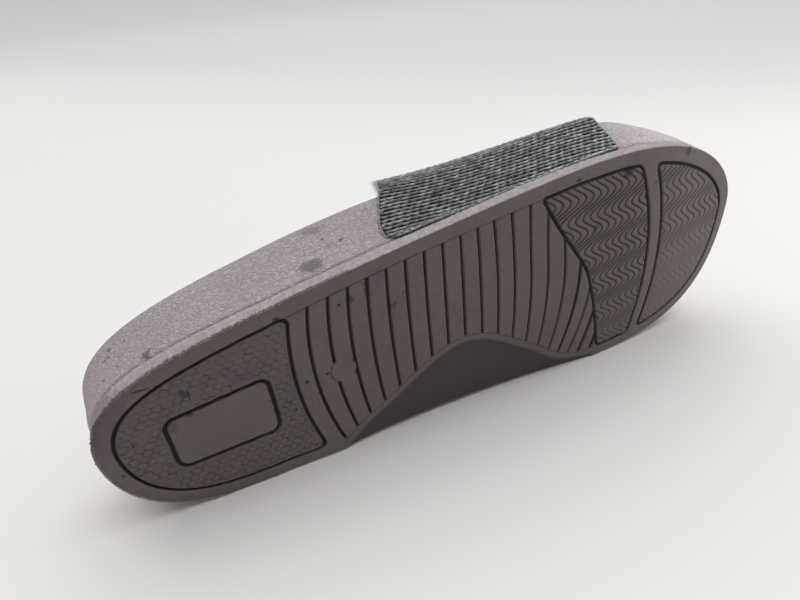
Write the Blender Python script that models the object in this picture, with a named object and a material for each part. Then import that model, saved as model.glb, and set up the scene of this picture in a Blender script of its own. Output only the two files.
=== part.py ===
"""Sport slide sandal for a right foot, lying on its medial side.

The shoe is modelled in its own frame: X runs from heel to toe, Y points to the medial side and Z up from
the flat of the sole. An empty then lays the three pieces down as the shoe rests, sole towards -Y.
Outsole and midsole are moulded foam, and one knitted band is the upper.
"""
import math

import bmesh
import bpy
import numpy as np
from mathutils import Matrix, Vector

MM = 0.001

# Sole
LENGTH = 250 * MM
SOLE_WIDTH = 86.5 * MM
TOE_OFFSET = 4.5 * MM           # the toe's tip lies this far to the lateral side of the heel's middle
TOE_SPRING = 7.7 * MM           # rise of the tip above the flat of the sole
SPRING_START = 0.62             # share of the length where that rise begins
OUTSOLE_THICKNESS = 4.6 * MM    # at the waist, where the table below has 1
RIM_HEIGHT = 30 * MM            # rim of the footbed above the flat of the sole, where the table has 1
FLARE = 1.8 * MM                # the rim leans out this far beyond the sole's edge
EDGE_ROUND = 0.8 * MM
RIM_ROUND = 1.6 * MM
ROUND_MIDDLE = 1 - math.sqrt(0.5)   # how far the middle of a rounded edge lies in from its two faces
RIM_WIDTH = 5.5 * MM            # flat top of the footbed's rim
BED_DEPTH = 8 * MM              # footbed below the rim, where the table below has 1
BED_SLOPE = 0.6                 # share of the half width over which the footbed dips
ARCH_SUPPORT = 4.5 * MM         # swelling of the footbed under the foot's arch
ARCH_PLACE = 0.42               # its middle and reach, as shares of the length
ARCH_REACH = 0.14
CREASE = 0.5 * MM               # parting line between outsole and midsole
GAP = 0.3 * MM                  # between neighbouring pieces

# Tread
GROOVE_WIDTH = 0.9 * MM
GROOVE_DEPTH = 1.2 * MM
PLATE_GROOVE = 1.2 * MM
TREAD_MARGIN = 5.2 * MM         # smooth border around the tread
MARGIN_SHIFT = 0.6 * MM         # wider than that on the lateral side, narrower on the medial
RIB_COUNT = 19
SCOOP_DEPTH = 3.4 * MM          # hollow under the arch, at the sole's edge
SCOOP_LIP = 0.14                # share of the hollow's width that is its quick edge
SCOOP_EDGE = 0.35               # share of the depth that this edge takes
SCOOP_FULLNESS = 0.6            # power on the half wave that runs heel to toe
PAD_CORNER = 1.6 * MM
DISC_RADIUS = 4.4 * MM          # bare disc between the first ribs
DISC_RIB = 1.36                 # its place, counted in rib grooves from the heel pad
SHORTEST_RIB = 2.7 * MM
PLATE_LENGTH = 32 * MM          # smooth plate in the heel pad
PLATE_WIDTH = 21 * MM
PLATE_SETBACK = 8 * MM          # from the pad's front border
PLATE_MIDDLE = 3.8 * MM
PLATE_SKEW = 2.5 * MM           # its lateral side runs outwards by this much
PLATE_CORNER = 3.5 * MM

# Strap
STRAP_THICKNESS = 2.4 * MM
STRAP_RISE_REAR = 43 * MM       # crest above the footbed's rim
STRAP_RISE_FRONT = 26 * MM
STRAP_PROUD_REAR = 0.8 * MM     # how far the strap stands out of the lateral wall, at the rim
STRAP_PROUD_FRONT = 2.4 * MM
STRAP_PROUD_MEDIAL = 0.3 * MM   # less on the side that the shoe lies on
STRAP_LEAN = 0.05               # how much leaner the arch is than an ellipse, between rim and crest
CORNER_REAR = 4.5 * MM
CORNER_FRONT = 2 * MM

# Fullness is the half width over half the sole width, over the height of a half circle on the length.
OUTLINE = np.array([
    # share, lateral, medial
    (0.00, 1.20, 1.50),
    (0.05, 1.04, 1.35),
    (0.10, 0.94, 1.21),
    (0.20, 0.85, 0.99),
    (0.30, 0.84, 0.90),
    (0.40, 0.86, 0.88),
    (0.50, 0.90, 0.91),
    (0.60, 0.965, 0.985),
    (0.70, 1.045, 1.12),
    (0.80, 1.125, 1.31),
    (0.90, 1.165, 1.60),
    (0.95, 1.145, 1.80),
    (1.00, 1.08, 2.10),
])
HEIGHTS = np.array([
    # share of the length, rim, outsole, bed depth
    (0.00, 0.900, 1.40, 0.80),
    (0.10, 0.955, 1.25, 1.00),
    (0.25, 1.000, 1.07, 0.95),
    (0.40, 1.000, 1.00, 0.75),
    (0.50, 0.967, 0.95, 0.72),
    (0.60, 0.907, 0.93, 0.72),
    (0.70, 0.837, 0.93, 0.75),
    (0.80, 0.767, 0.93, 0.70),
    (0.90, 0.703, 0.96, 0.62),
    (1.00, 0.650, 1.00, 0.50),
])
# The path is 0 at the strap's lower edge, 1 at the rim and 2 at the crest.
STRAP_EDGES = np.array([
    # path, rear and front as shares of the length
    (0.0, 0.389, 0.738),
    (0.3, 0.394, 0.760),
    (0.7, 0.410, 0.777),
    (1.0, 0.423, 0.777),
    (1.3, 0.444, 0.770),
    (1.6, 0.468, 0.762),
    (2.0, 0.492, 0.756),
])
RIBS = np.array([
    # groove, place and sweep towards the toe at half the sole's width, as shares of the length
    (0, 0.263, 0.033),
    (4, 0.372, 0.009),
    (8, 0.480, -0.002),
    (12, 0.589, -0.024),
    (16, 0.701, -0.049),
    (18, 0.742, -0.036),
])
# Rear edge of the tread's hollow under the arch
ARCH = np.array([
    # share of the length, share of half the sole width
    (0.282, 0.720),
    (0.305, 0.606),
    (0.351, 0.453),
    (0.398, 0.294),
    (0.440, 0.169),
    (0.478, 0.127),
    (0.517, 0.187),
    (0.560, 0.347),
    (0.603, 0.534),
    (0.643, 0.721),
    (0.680, 0.815),
    (0.715, 0.850),
])
PAD_REAR = np.array([
    # share of half the sole width, share of the length
    (-0.92, 0.598),
    (-0.57, 0.632),
    (-0.35, 0.657),
    (-0.08, 0.686),
    (0.20, 0.702),
    (0.46, 0.712),
    (0.90, 0.724),
])
# Bowed borders across the sole: place, middle as a share of half the width, and sweep as for the ribs
HEEL_PAD_FRONT = (0.238, -0.092, 0.034)
PAD_FRONT = (0.811, 0.116, -0.039)
TOE_PAD_REAR = (0.836, 0.058, -0.039)

# Fineness of the meshes
STATIONS = 36
STRAP_COLUMNS = 9
WALL_ROWS = 6
ARCH_ROWS = 14
BORDER_POINTS = 17
RIB_POINTS = 9
RIB_SAMPLES = 400
RUN_SAMPLES = 40
SCOOP_COLUMNS = 25
CORNER_POINTS = 5
INNER_RINGS = (0.35, 0.7, 1)    # shares of the way from the edge to the spine
BED_RINGS = (0.12, 0.25, 0.42, 0.65, 1)
SCOOP_ROWS = (0, 0.04, 0.08, 0.14, 0.3, 0.5, 0.75, 1)
SLIVER = 0.02 * MM              # points closer than this are one

HALF_WIDTH = SOLE_WIDTH / 2
HEEL_SPINE = 0.13               # ends of the middle line, as shares of the length
TOE_SPINE = 0.85
SIDE_LEAN = math.radians(30)    # the face that the shoe lies on is turned less than this from its side

FOAM_DENSITY = 200
KNIT_DENSITY = 350


def smooth(table, column, at):
    """Cubic through a column of a table, with the slope at each row taken from its neighbours."""
    at = np.asarray(at, float)
    xs = table[:, 0]
    ys = table[:, column]
    slopes = np.gradient(ys, xs)
    i = np.clip(np.searchsorted(xs, at) - 1, 0, len(xs) - 2)
    step = xs[i + 1] - xs[i]
    u = np.clip((at - xs[i]) / step, 0, 1)
    return (ys[i] * (2 * u**3 - 3 * u**2 + 1) + slopes[i] * step * (u**3 - 2 * u**2 + u)
            + ys[i + 1] * (3 * u**2 - 2 * u**3) + slopes[i + 1] * step * (u**3 - u**2))


def side_edge(x, side):
    """Sole's edge on the lateral (-1) or medial (1) side: fullness times a half circle on the length."""
    share = np.clip(np.asarray(x, float) / LENGTH, 0, 1)
    fullness = smooth(OUTLINE, 1 if side < 0 else 2, share)
    return -TOE_OFFSET * share + side * HALF_WIDTH * fullness * 2 * np.sqrt(share * (1 - share))


def spring(x):
    """Bottom of the sole: flat, then a parabola up to the toe."""
    u = np.clip((np.asarray(x, float) / LENGTH - SPRING_START) / (1 - SPRING_START), 0, None)
    return TOE_SPRING * u**2


def rim_height(x):
    return RIM_HEIGHT * smooth(HEIGHTS, 1, np.asarray(x) / LENGTH)


def outsole_top(x):
    return spring(x) + OUTSOLE_THICKNESS * smooth(HEIGHTS, 2, np.asarray(x) / LENGTH)


def outline():
    """Points round the sole's edge, heel to toe on the lateral side and back on the medial."""
    turn = np.linspace(0, math.pi, STATIONS + 1)
    x = LENGTH * (1 - np.cos(turn)) / 2
    lateral = np.stack([x, side_edge(x, -1)], 1)
    medial = np.stack([x, side_edge(x, 1)], 1)
    return np.concatenate([lateral, medial[-2:0:-1]])


def normals(path, closed=True):
    """Unit normals on the right of a path of points."""
    if closed:
        along = np.roll(path, -1, 0) - np.roll(path, 1, 0)
    else:
        along = np.gradient(path, axis=0)
    along /= np.linalg.norm(along, axis=1)[:, None]
    return np.stack([along[:, 1], -along[:, 0]], 1)


def spine(points):
    """Middle line of the sole, where the rings of every piece close."""
    x = np.clip(points[:, 0], HEEL_SPINE * LENGTH, TOE_SPINE * LENGTH)
    return np.stack([x, (side_edge(x, -1) + side_edge(x, 1)) / 2], 1)


def ring(outwards, height, inwards=0, lift=0):
    """One ring: the outline moved outwards, then a share of the way to the spine, lifted from a height."""
    edge = outline()
    points = edge + normals(edge) * outwards
    points = points + (spine(edge) - points) * inwards
    return np.column_stack([points, height(points[:, 0]) + lift])


def add_object(name, bm, collection, material=None):
    bmesh.ops.recalc_face_normals(bm, faces=bm.faces)
    mesh = bpy.data.meshes.new(name)
    bm.to_mesh(mesh)
    bm.free()
    thing = bpy.data.objects.new(name, mesh)
    collection.objects.link(thing)
    if material:
        mesh.materials.append(material)
    else:
        thing.hide_render = True
        thing.display_type = "WIRE"
    return thing


def skin(bm, rows, closed_across=True):
    """Quads between rows of points, each row a ring or an open line."""
    verts = [[bm.verts.new(point) for point in row] for row in rows]
    count = len(verts[0])
    for lower, upper in zip(verts, verts[1:]):
        for i in range(count if closed_across else count - 1):
            j = (i + 1) % count
            bm.faces.new((lower[i], lower[j], upper[j], upper[i]))
    return verts


def ring_body(name, rings, collection, material):
    """Solid skinned over rings, the first and last of which lie on the spine."""
    bm = bmesh.new()
    skin(bm, rings)
    bmesh.ops.remove_doubles(bm, verts=bm.verts, dist=0.01 * MM)
    bmesh.ops.triangulate(bm, faces=bm.faces)
    return add_object(name, bm, collection, material)


def cut(thing, cutter):
    boolean = thing.modifiers.new(cutter.name, "BOOLEAN")
    boolean.operation = "DIFFERENCE"
    boolean.solver = "EXACT"
    boolean.object = cutter


def channel(bm, path, width, depth, closed):
    """Cutter for a groove: a square bar that follows a path over the bottom of the sole."""
    side = normals(path, closed) * width / 2
    under = spring(path[:, 0]) - EDGE_ROUND
    over = spring(path[:, 0]) + depth
    corners = [np.column_stack([path + side, under]), np.column_stack([path - side, under]),
               np.column_stack([path - side, over]), np.column_stack([path + side, over])]
    rows = np.stack(corners, 1)
    if closed:
        rows = np.concatenate([rows, rows[:1]])
    verts = skin(bm, rows)
    if closed:
        bmesh.ops.remove_doubles(bm, verts=verts[0] + verts[-1], dist=0.001 * MM)
    else:
        bm.faces.new(verts[0])
        bm.faces.new(verts[-1])


def tread_border():
    """The two sides of the tread's border, heel to toe: the outline, moved in by its margin."""
    edge = outline()
    roundness = 2 * np.sqrt(edge[:, 0] * (LENGTH - edge[:, 0])) / LENGTH
    sides = np.where(np.arange(len(edge)) <= STATIONS, 1, -1)
    margin = TREAD_MARGIN + MARGIN_SHIFT * sides * roundness
    inner = edge - normals(edge) * margin[:, None]
    lateral = inner[:STATIONS + 1]
    medial = np.concatenate([inner[:1], inner[:STATIONS - 1:-1]])
    return lateral, medial


def crossing(border, y):
    """A border across the sole, given as a table or as place, middle and sweep of a parabola."""
    across = y / HALF_WIDTH
    if len(border) > 3:
        return LENGTH * smooth(border, 1, across)
    place, middle, sweep = border
    return LENGTH * (place + sweep * (across - middle)**2)


def clip_run(run, rear, front):
    """Part of a run, heel to toe, between two borders across the sole, ending a corner short of them."""
    fine = np.linspace(0, len(run) - 1, RUN_SAMPLES * len(run))
    x = np.interp(fine, np.arange(len(run)), run[:, 0])
    y = np.interp(fine, np.arange(len(run)), run[:, 1])
    inside = np.ones(len(fine), bool)
    if rear is not None:
        inside &= x > crossing(rear, y) + PAD_CORNER
    if front is not None:
        inside &= x < crossing(front, y) - PAD_CORNER
    first, last = fine[np.flatnonzero(inside)[[0, -1]]]
    steps = np.arange(math.floor(first) + 1, math.ceil(last))
    keep = np.concatenate([[first], steps[(steps > first + 0.3) & (steps < last - 0.3)], [last]])
    return np.stack([np.interp(keep, np.arange(len(run)), run[:, k]) for k in (0, 1)], 1)


def pad_path(rear, front):
    """Closed outline of a pad: the tread's border between a rear and a front border across the sole."""
    lateral, medial = (clip_run(run, rear, front) for run in tread_border())
    across = np.linspace(0, 1, BORDER_POINTS)
    pieces = [lateral]
    if front is not None:
        y = lateral[-1, 1] + PAD_CORNER + (medial[-1, 1] - lateral[-1, 1] - 2 * PAD_CORNER) * across
        pieces.append(np.stack([crossing(front, y), y], 1))
        pieces.append(medial[::-1])
    else:
        pieces.append(medial[-2::-1])
    if rear is not None:
        y = medial[0, 1] - PAD_CORNER + (lateral[0, 1] - medial[0, 1] + 2 * PAD_CORNER) * across
        pieces.append(np.stack([crossing(rear, y), y], 1))
    else:
        pieces[-1] = pieces[-1][:-1]
    return np.concatenate(pieces)


def plate_path():
    """Rounded plate in the heel pad, its lateral side running outwards towards the waist."""
    corners = []
    side = PLATE_WIDTH / 2 - PLATE_CORNER
    front = HEEL_PAD_FRONT[0] * LENGTH - PLATE_SETBACK - PLATE_CORNER
    rear = front - PLATE_LENGTH + 2 * PLATE_CORNER
    outer = -side - PLATE_SKEW
    for x, y, start in ((rear, side, 90), (rear, -side, 180), (front, outer, 270), (front, side, 0)):
        turn = np.radians(start + np.linspace(0, 90, CORNER_POINTS))
        corners.append(np.stack([x + PLATE_CORNER * np.cos(turn), y + PLATE_CORNER * np.sin(turn)], 1))
    path = np.concatenate(corners)
    path[:, 1] += PLATE_MIDDLE + PLATE_SKEW / 2
    return path


def rib_line(number, y):
    """Middle of a rib's groove across the sole, a parabola about the tread's middle."""
    across = (y + TREAD_MARGIN) / HALF_WIDTH
    return LENGTH * (smooth(RIBS, 1, number) + smooth(RIBS, 2, number) * across**2)


def rib_runs(number):
    """Stretches of one groove between the tread's border, the pad, the disc and the arch."""
    y = np.linspace(-HALF_WIDTH, HALF_WIDTH, RIB_SAMPLES)
    x = rib_line(number, y)
    disc = rib_line(DISC_RIB, 0)
    lateral, medial = tread_border()
    arch = HALF_WIDTH * smooth(ARCH, 1, x / LENGTH)
    arch = np.where(x < ARCH[0, 0] * LENGTH, HALF_WIDTH, arch)
    keep = y > np.interp(x, lateral[:, 0], lateral[:, 1]) + GROOVE_WIDTH
    keep &= y < np.interp(x, medial[:, 0], medial[:, 1])
    keep &= y < arch
    keep &= x < crossing(PAD_REAR, y) - GROOVE_WIDTH
    keep &= np.hypot(x - disc, y) > DISC_RADIUS
    edges = np.flatnonzero(np.diff(np.concatenate([[0], keep.astype(int), [0]])))
    runs = []
    for start, stop in zip(edges[::2], edges[1::2]):
        if y[stop - 1] - y[start] > SHORTEST_RIB:
            pick = np.linspace(start, stop - 1, RIB_POINTS).astype(int)
            runs.append(np.stack([x[pick], y[pick]], 1))
    return runs


def scoop_cutter(collection):
    """Hollow under the arch: quick at its edge, then a gentle slope to the medial side."""
    first = ARCH[0, 0] * LENGTH
    last = ARCH[-1, 0] * LENGTH
    along = np.linspace(0, 1, SCOOP_COLUMNS)
    x = first + (last - first) * along
    depth = SCOOP_DEPTH * np.sin(math.pi * along)**SCOOP_FULLNESS
    rear = HALF_WIDTH * smooth(ARCH, 1, x / LENGTH)
    reach = side_edge(x, 1) - rear
    rows = [np.column_stack([x, rear, spring(x) - 2 * EDGE_ROUND])]
    for share in SCOOP_ROWS:
        quick = 1 - (1 - min(share / SCOOP_LIP, 1))**2
        height = spring(x) + depth * (SCOOP_EDGE * quick + (1 - SCOOP_EDGE) * share) - 2 * SLIVER
        rows.append(np.column_stack([x, rear + reach * share, height]))
    beyond = rear + reach + 2 * EDGE_ROUND + FLARE
    rows.append(np.column_stack([x, beyond, rows[-1][:, 2]]))
    rows.append(np.column_stack([x, beyond, spring(x) - 2 * EDGE_ROUND]))
    rows.append(rows[0])
    bm = bmesh.new()
    skin(bm, rows, closed_across=False)
    bmesh.ops.remove_doubles(bm, verts=bm.verts, dist=0.001 * MM)
    bmesh.ops.holes_fill(bm, edges=bm.edges)
    bmesh.ops.triangulate(bm, faces=bm.faces)
    return add_object("scoop_cutter", bm, collection)


def make_outsole(collection, cutters, material):
    """Tread plate with its smooth border, pads, ribs and the hollow under the arch."""
    rounded = ROUND_MIDDLE * EDGE_ROUND
    lean = FLARE * OUTSOLE_THICKNESS / RIM_HEIGHT
    rings = [ring(-EDGE_ROUND, spring, share) for share in reversed(INNER_RINGS)]
    rings.append(ring(-EDGE_ROUND, spring))
    rings.append(ring(-rounded, spring, lift=rounded))
    rings.append(ring(0, spring, lift=EDGE_ROUND))
    rings.append(ring(lean, outsole_top, lift=-CREASE))
    rings.append(ring(lean - CREASE, outsole_top))
    rings.extend(ring(lean - CREASE, outsole_top, share) for share in INNER_RINGS)
    outsole = ring_body("outsole", rings, collection, material)

    cut(outsole, scoop_cutter(cutters))
    bm = bmesh.new()
    for rear, front in ((None, HEEL_PAD_FRONT), (PAD_REAR, PAD_FRONT), (TOE_PAD_REAR, None)):
        channel(bm, pad_path(rear, front), GROOVE_WIDTH, GROOVE_DEPTH, True)
    channel(bm, plate_path(), PLATE_GROOVE, GROOVE_DEPTH, True)
    cut(outsole, add_object("pad_cutter", bm, cutters))
    bm = bmesh.new()
    for number in range(RIB_COUNT):
        for run in rib_runs(number):
            channel(bm, run, GROOVE_WIDTH, GROOVE_DEPTH, False)
    cut(outsole, add_object("rib_cutter", bm, cutters))
    weld = outsole.modifiers.new("slivers", "WELD")
    weld.merge_threshold = SLIVER
    return outsole


def bed_height(points, across):
    """Footbed: a dish below the rim, with a swelling under the arch. Across is -1 lateral to 1 medial."""
    share = points[:, 0] / LENGTH
    away = np.clip((1 - np.abs(across)) / BED_SLOPE, 0, 1)
    dish = away * away * (3 - 2 * away)
    depth = BED_DEPTH * smooth(HEIGHTS, 3, share) * dish
    arch = ARCH_SUPPORT * np.exp(-((share - ARCH_PLACE) / ARCH_REACH)**2) * np.clip(across, 0, 1) * dish
    return rim_height(points[:, 0]) - depth + arch


def wall_middle(x):
    return (outsole_top(x) + GAP + rim_height(x)) / 2


def make_midsole(collection, material):
    """Moulded body from the outsole up to the rim, with the footbed sunk into its top."""
    lean = FLARE * OUTSOLE_THICKNESS / RIM_HEIGHT
    rounded = ROUND_MIDDLE * RIM_ROUND
    rings = [ring(lean - CREASE, outsole_top, share, GAP) for share in reversed(INNER_RINGS)]
    rings.append(ring(lean - CREASE, outsole_top, lift=GAP))
    rings.append(ring(lean, outsole_top, lift=GAP + CREASE))
    rings.append(ring((lean + FLARE) / 2, wall_middle))
    rings.append(ring(FLARE, rim_height, lift=-RIM_ROUND))
    rings.append(ring(FLARE - rounded, rim_height, lift=-rounded))
    rings.append(ring(FLARE - RIM_ROUND, rim_height))
    rings.append(ring(FLARE - RIM_WIDTH, rim_height))
    side = np.where(np.arange(2 * STATIONS) <= STATIONS, -1, 1)
    for share in BED_RINGS:
        inner = ring(FLARE - RIM_WIDTH, rim_height, share)
        inner[:, 2] = bed_height(inner[:, :2], side * (1 - share))
        rings.append(inner)
    return ring_body("midsole", rings, collection, material)


def strap_point(x, path, side):
    """Outer face of the strap: up the wall from the outsole, then an arch over the footbed."""
    start = outsole_top(x) + GAP
    rim = rim_height(x)
    first = STRAP_EDGES[3, 1] * LENGTH
    last = STRAP_EDGES[3, 2] * LENGTH
    share = np.clip((x - first) / (last - first), -0.2, 1.1)
    proud = STRAP_PROUD_REAR + (STRAP_PROUD_FRONT - STRAP_PROUD_REAR) * share
    rise = STRAP_RISE_REAR + (STRAP_RISE_FRONT - STRAP_RISE_REAR) * share
    wall = np.clip(path, None, 1)
    height = start + wall * (rim - start)
    upwards = np.clip(wall, 0, 1)
    lean = FLARE * height / rim
    low = side_edge(x, -1) - lean - proud * upwards
    high = side_edge(x, 1) + lean + STRAP_PROUD_MEDIAL * upwards
    angle = np.clip(path - 1, 0, 1) * math.pi / 2
    middle = (low + high) / 2
    half = (high - low) / 2
    y = middle + side * half * np.cos(angle) * (1 - STRAP_LEAN * np.sin(2 * angle)**2)
    return np.stack([x, y, height + rise * np.sin(angle)], -1)


def strap_sheet(margin, lift):
    """Grid over the strap from its lateral to its medial lower edge, widened and lifted as asked."""
    wall = np.linspace(0, 1, WALL_ROWS + 1)**1.3
    arch = 1 + np.linspace(0, 1, ARCH_ROWS + 1)[1:]**0.9
    half_path = np.concatenate([wall, arch])
    path = np.concatenate([half_path, half_path[-2::-1]])
    side = np.concatenate([-np.ones(len(half_path)), np.ones(len(half_path) - 1)])
    wall_height = RIM_HEIGHT - OUTSOLE_THICKNESS
    above = np.minimum(path, 1) * wall_height
    corner_rear = CORNER_REAR - np.sqrt(CORNER_REAR**2 - np.clip(CORNER_REAR - above, 0, None)**2)
    corner_front = CORNER_FRONT - np.sqrt(CORNER_FRONT**2 - np.clip(CORNER_FRONT - above, 0, None)**2)
    rear = LENGTH * smooth(STRAP_EDGES, 1, path) + corner_rear - margin
    front = LENGTH * smooth(STRAP_EDGES, 2, path) - corner_front + margin
    across = np.linspace(0, 1, STRAP_COLUMNS)
    x = rear[:, None] + (front - rear)[:, None] * across[None]
    reached = path - np.where(path == 0, margin / wall_height, 0)
    points = strap_point(x, reached[:, None], side[:, None])
    facing = np.cross(np.gradient(points, axis=0), np.gradient(points, axis=1))
    facing /= np.linalg.norm(facing, axis=2)[..., None]
    facing *= np.sign(facing[len(path) // 2, STRAP_COLUMNS // 2, 2])
    return points + facing * lift, facing


def strap_solid(name, margin, lift, thickness, collection, material=None):
    outer, facing = strap_sheet(margin, lift)
    inner = outer - facing * thickness
    bm = bmesh.new()
    loops = [np.concatenate([top, under[::-1]]) for top, under in zip(outer, inner)]
    verts = skin(bm, loops)
    for loop in (verts[0], verts[-1]):
        for i in range(STRAP_COLUMNS - 1):
            bm.faces.new((loop[i], loop[i + 1], loop[-2 - i], loop[-1 - i]))
    bmesh.ops.triangulate(bm, faces=bm.faces)
    return add_object(name, bm, collection, material)


def surface(name, color, roughness):
    material = bpy.data.materials.new(name)
    material.use_nodes = True
    shader = material.node_tree.nodes["Principled BSDF"]
    shader.inputs["Base Color"].default_value = (*color, 1)
    shader.inputs["Roughness"].default_value = roughness
    shader.inputs["Metallic"].default_value = 0
    return material


def solid_points(thing):
    """Corners of the finished solid, its volume and its centre."""
    evaluated = thing.evaluated_get(bpy.context.evaluated_depsgraph_get())
    mesh = evaluated.to_mesh()
    mesh.calc_loop_triangles()
    points = np.array([vertex.co for vertex in mesh.vertices])
    corners = points[np.array([triangle.vertices for triangle in mesh.loop_triangles])]
    evaluated.to_mesh_clear()
    volumes = np.einsum("ij,ij->i", corners[:, 0], np.cross(corners[:, 1], corners[:, 2])) / 6
    centre = (volumes[:, None] * corners.sum(1) / 4).sum(0) / volumes.sum()
    return points, volumes.sum(), centre


def resting_turn(points, centre):
    """Turn that brings the medial face of the shoe's hull nearest its centre down onto the floor."""
    bm = bmesh.new()
    verts = [bm.verts.new(point) for point in points]
    bmesh.ops.convex_hull(bm, input=verts)
    bm.normal_update()
    heart = Vector(centre)
    medial = [face for face in bm.faces if abs(face.normal.y) > math.cos(SIDE_LEAN)
              and face.calc_center_median().y > heart.y]
    nearest = min(medial, key=lambda face: abs(face.normal.dot(face.verts[0].co - heart)))
    down = nearest.normal.copy()
    if down.y < 0:
        down.negate()
    bm.free()
    forward = Vector((1, 0, 0))
    forward = (forward - down * forward.dot(down)).normalized()
    return Matrix((forward, (-down).cross(forward), -down))


def lay_down(things, densities, collection):
    """Parent the pieces to an empty that lies as the shoe rests, over the world's origin."""
    solids = [solid_points(thing) for thing in things]
    masses = [volume * density for (_, volume, _), density in zip(solids, densities)]
    centre = sum(mass * centre for mass, (_, _, centre) in zip(masses, solids)) / sum(masses)
    points = np.concatenate([points for points, _, _ in solids])
    turn = resting_turn(points, centre)
    turned = points @ np.array(turn).T
    low = turned.min(0)
    high = turned.max(0)
    pose = bpy.data.objects.new("lying_shoe", None)
    collection.objects.link(pose)
    shift = Vector((-(low[0] + high[0]) / 2, -(low[1] + high[1]) / 2, -low[2]))
    pose.matrix_world = Matrix.Translation(shift) @ turn.to_4x4()
    return pose


def main():
    for thing in list(bpy.data.objects):
        bpy.data.objects.remove(thing)
    shoe = bpy.data.collections.new("sport_slide")
    cutters = bpy.data.collections.new("cutters")
    bpy.context.scene.collection.children.link(shoe)
    bpy.context.scene.collection.children.link(cutters)

    outsole = make_outsole(shoe, cutters, surface("smooth_foam", (0.24, 0.205, 0.205), 0.62))
    midsole = make_midsole(shoe, surface("grained_foam", (0.31, 0.27, 0.28), 0.6))
    strap = strap_solid("strap", 0, 0, STRAP_THICKNESS, shoe, surface("knit", (0.13, 0.135, 0.15), 0.85))
    recess = strap_solid("recess_cutter", GAP, 2 * STRAP_THICKNESS, 3 * STRAP_THICKNESS + GAP, cutters)
    cut(midsole, recess)

    bpy.context.view_layer.update()
    things = [outsole, midsole, strap]
    pose = lay_down(things, [FOAM_DENSITY, FOAM_DENSITY, KNIT_DENSITY], shoe)
    for thing in things + list(cutters.objects):
        thing.parent = pose
        for polygon in thing.data.polygons:
            polygon.use_smooth = False


main()
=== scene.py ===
"""Looks of a sport slide sandal: tread, moulded body and knitted strap.

Every surface is worked out in the shoe's own frame, in millimetres: X runs from heel to toe, Y to the
medial side and Z up from the flat of the sole. lay() then turns it onto the floor as the shoe lies, in
metres.
"""

import math
from functools import partial

import bmesh
import bpy
import numpy as np
from mathutils import Matrix, Vector


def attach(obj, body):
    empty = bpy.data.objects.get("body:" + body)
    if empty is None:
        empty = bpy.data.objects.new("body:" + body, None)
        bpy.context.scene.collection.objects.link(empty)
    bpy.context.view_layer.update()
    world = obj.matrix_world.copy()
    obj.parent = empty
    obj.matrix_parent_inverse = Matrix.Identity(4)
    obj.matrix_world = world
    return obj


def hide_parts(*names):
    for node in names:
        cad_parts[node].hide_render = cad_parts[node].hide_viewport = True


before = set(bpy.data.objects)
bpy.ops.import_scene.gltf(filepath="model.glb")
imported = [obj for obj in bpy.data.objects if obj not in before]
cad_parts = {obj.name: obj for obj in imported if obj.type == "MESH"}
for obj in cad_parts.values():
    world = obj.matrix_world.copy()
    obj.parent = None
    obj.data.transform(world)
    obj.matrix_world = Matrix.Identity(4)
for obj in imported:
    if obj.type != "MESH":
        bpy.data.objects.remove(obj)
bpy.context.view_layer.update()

# How the shoe lies: the sole tips by the lean, and the toe swings off the floor's X by the splay
LEAN = math.radians(4.7955)
SPLAY = math.radians(3.4939)
LIE_SHIFT = np.array([-124.524, -32.560, 30.362])
UPWARDS = np.array([math.sin(SPLAY) * math.cos(LEAN), -math.cos(SPLAY) * math.cos(LEAN), math.sin(LEAN)])
FORWARDS = np.array([1, 0, 0]) - UPWARDS * UPWARDS[0]
FORWARDS /= np.linalg.norm(FORWARDS)
LIE = np.stack([FORWARDS, np.cross(UPWARDS, FORWARDS), UPWARDS])

# Camera, in the row's frame
CAMERA_PLACE = Vector((-0.0916, -0.1865, 0.1451))
CAMERA_AIM = Vector((-0.01464, 0, 0.03478))
CAMERA_ROLL = math.radians(-5.18)
CAMERA_LENS = 26.99
SENSOR_WIDTH = 36

# Sole
LENGTH = 250
HALF_WIDTH = 86.5 / 2
TOE_OFFSET = 4.5
TOE_SPRING = 7.7
SPRING_START = 0.62
OUTSOLE_THICKNESS = 4.6
RIM_HEIGHT = 30
FLARE = 1.8
EDGE_ROUND = 0.35
RIM_ROUND = 1.6
RIM_WIDTH = 5.5
BED_DEPTH = 8
BED_SLOPE = 0.6
ARCH_SUPPORT = 4.5
ARCH_PLACE = 0.42
ARCH_REACH = 0.14
CREASE = 0.5
GAP = 0.3
LEAN_OUT = FLARE * OUTSOLE_THICKNESS / RIM_HEIGHT

# Tread
GROOVE_WIDTH = 1.08
HEEL_GROOVE = 0.95
PLATE_GROOVE = 1.2
GROOVE_DEPTH = 1.2
GROOVE_WALL = 0.14
# Fine lines round the ribs, the arch and the disc: width and depth
BORDER_LINE = (0.34, 0.3)
ARCH_LINE = (0.3, 0.3)
DISC_LINE = (0.4, 0.4)
SHOULDER_DEPTH = 0.22
SHOULDER_REACH = 0.55
HEEL_CORNER = 3.0
BALL_CORNER = 1.8
TOE_CORNER = 2.4
TREAD_MARGIN = 5.2
MARGIN_SHIFT = 0.6
# Lateral border: place and reach as shares of the length, and how much wider it is there
BORDER_WIDER = ((0.88, 0.11, 0.8), (0.40, 0.16, -0.7))
SCOOP_DEPTH = 3.4
SCOOP_FULLNESS = 0.6
# Shares of the scoop's depth at its lip, down its bank and on the way to the sole's edge
SCOOP_STEPS = (0.05, 0.33, 0.62)
DISC_RADIUS = 4.4
DISC_RIB = 1.36
PLATE_LENGTH = 32
PLATE_WIDTH = 19.1
PLATE_SETBACK = 8
PLATE_MIDDLE = 2.9
PLATE_SKEW = 2.7
PLATE_CORNER = 3.5
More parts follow.
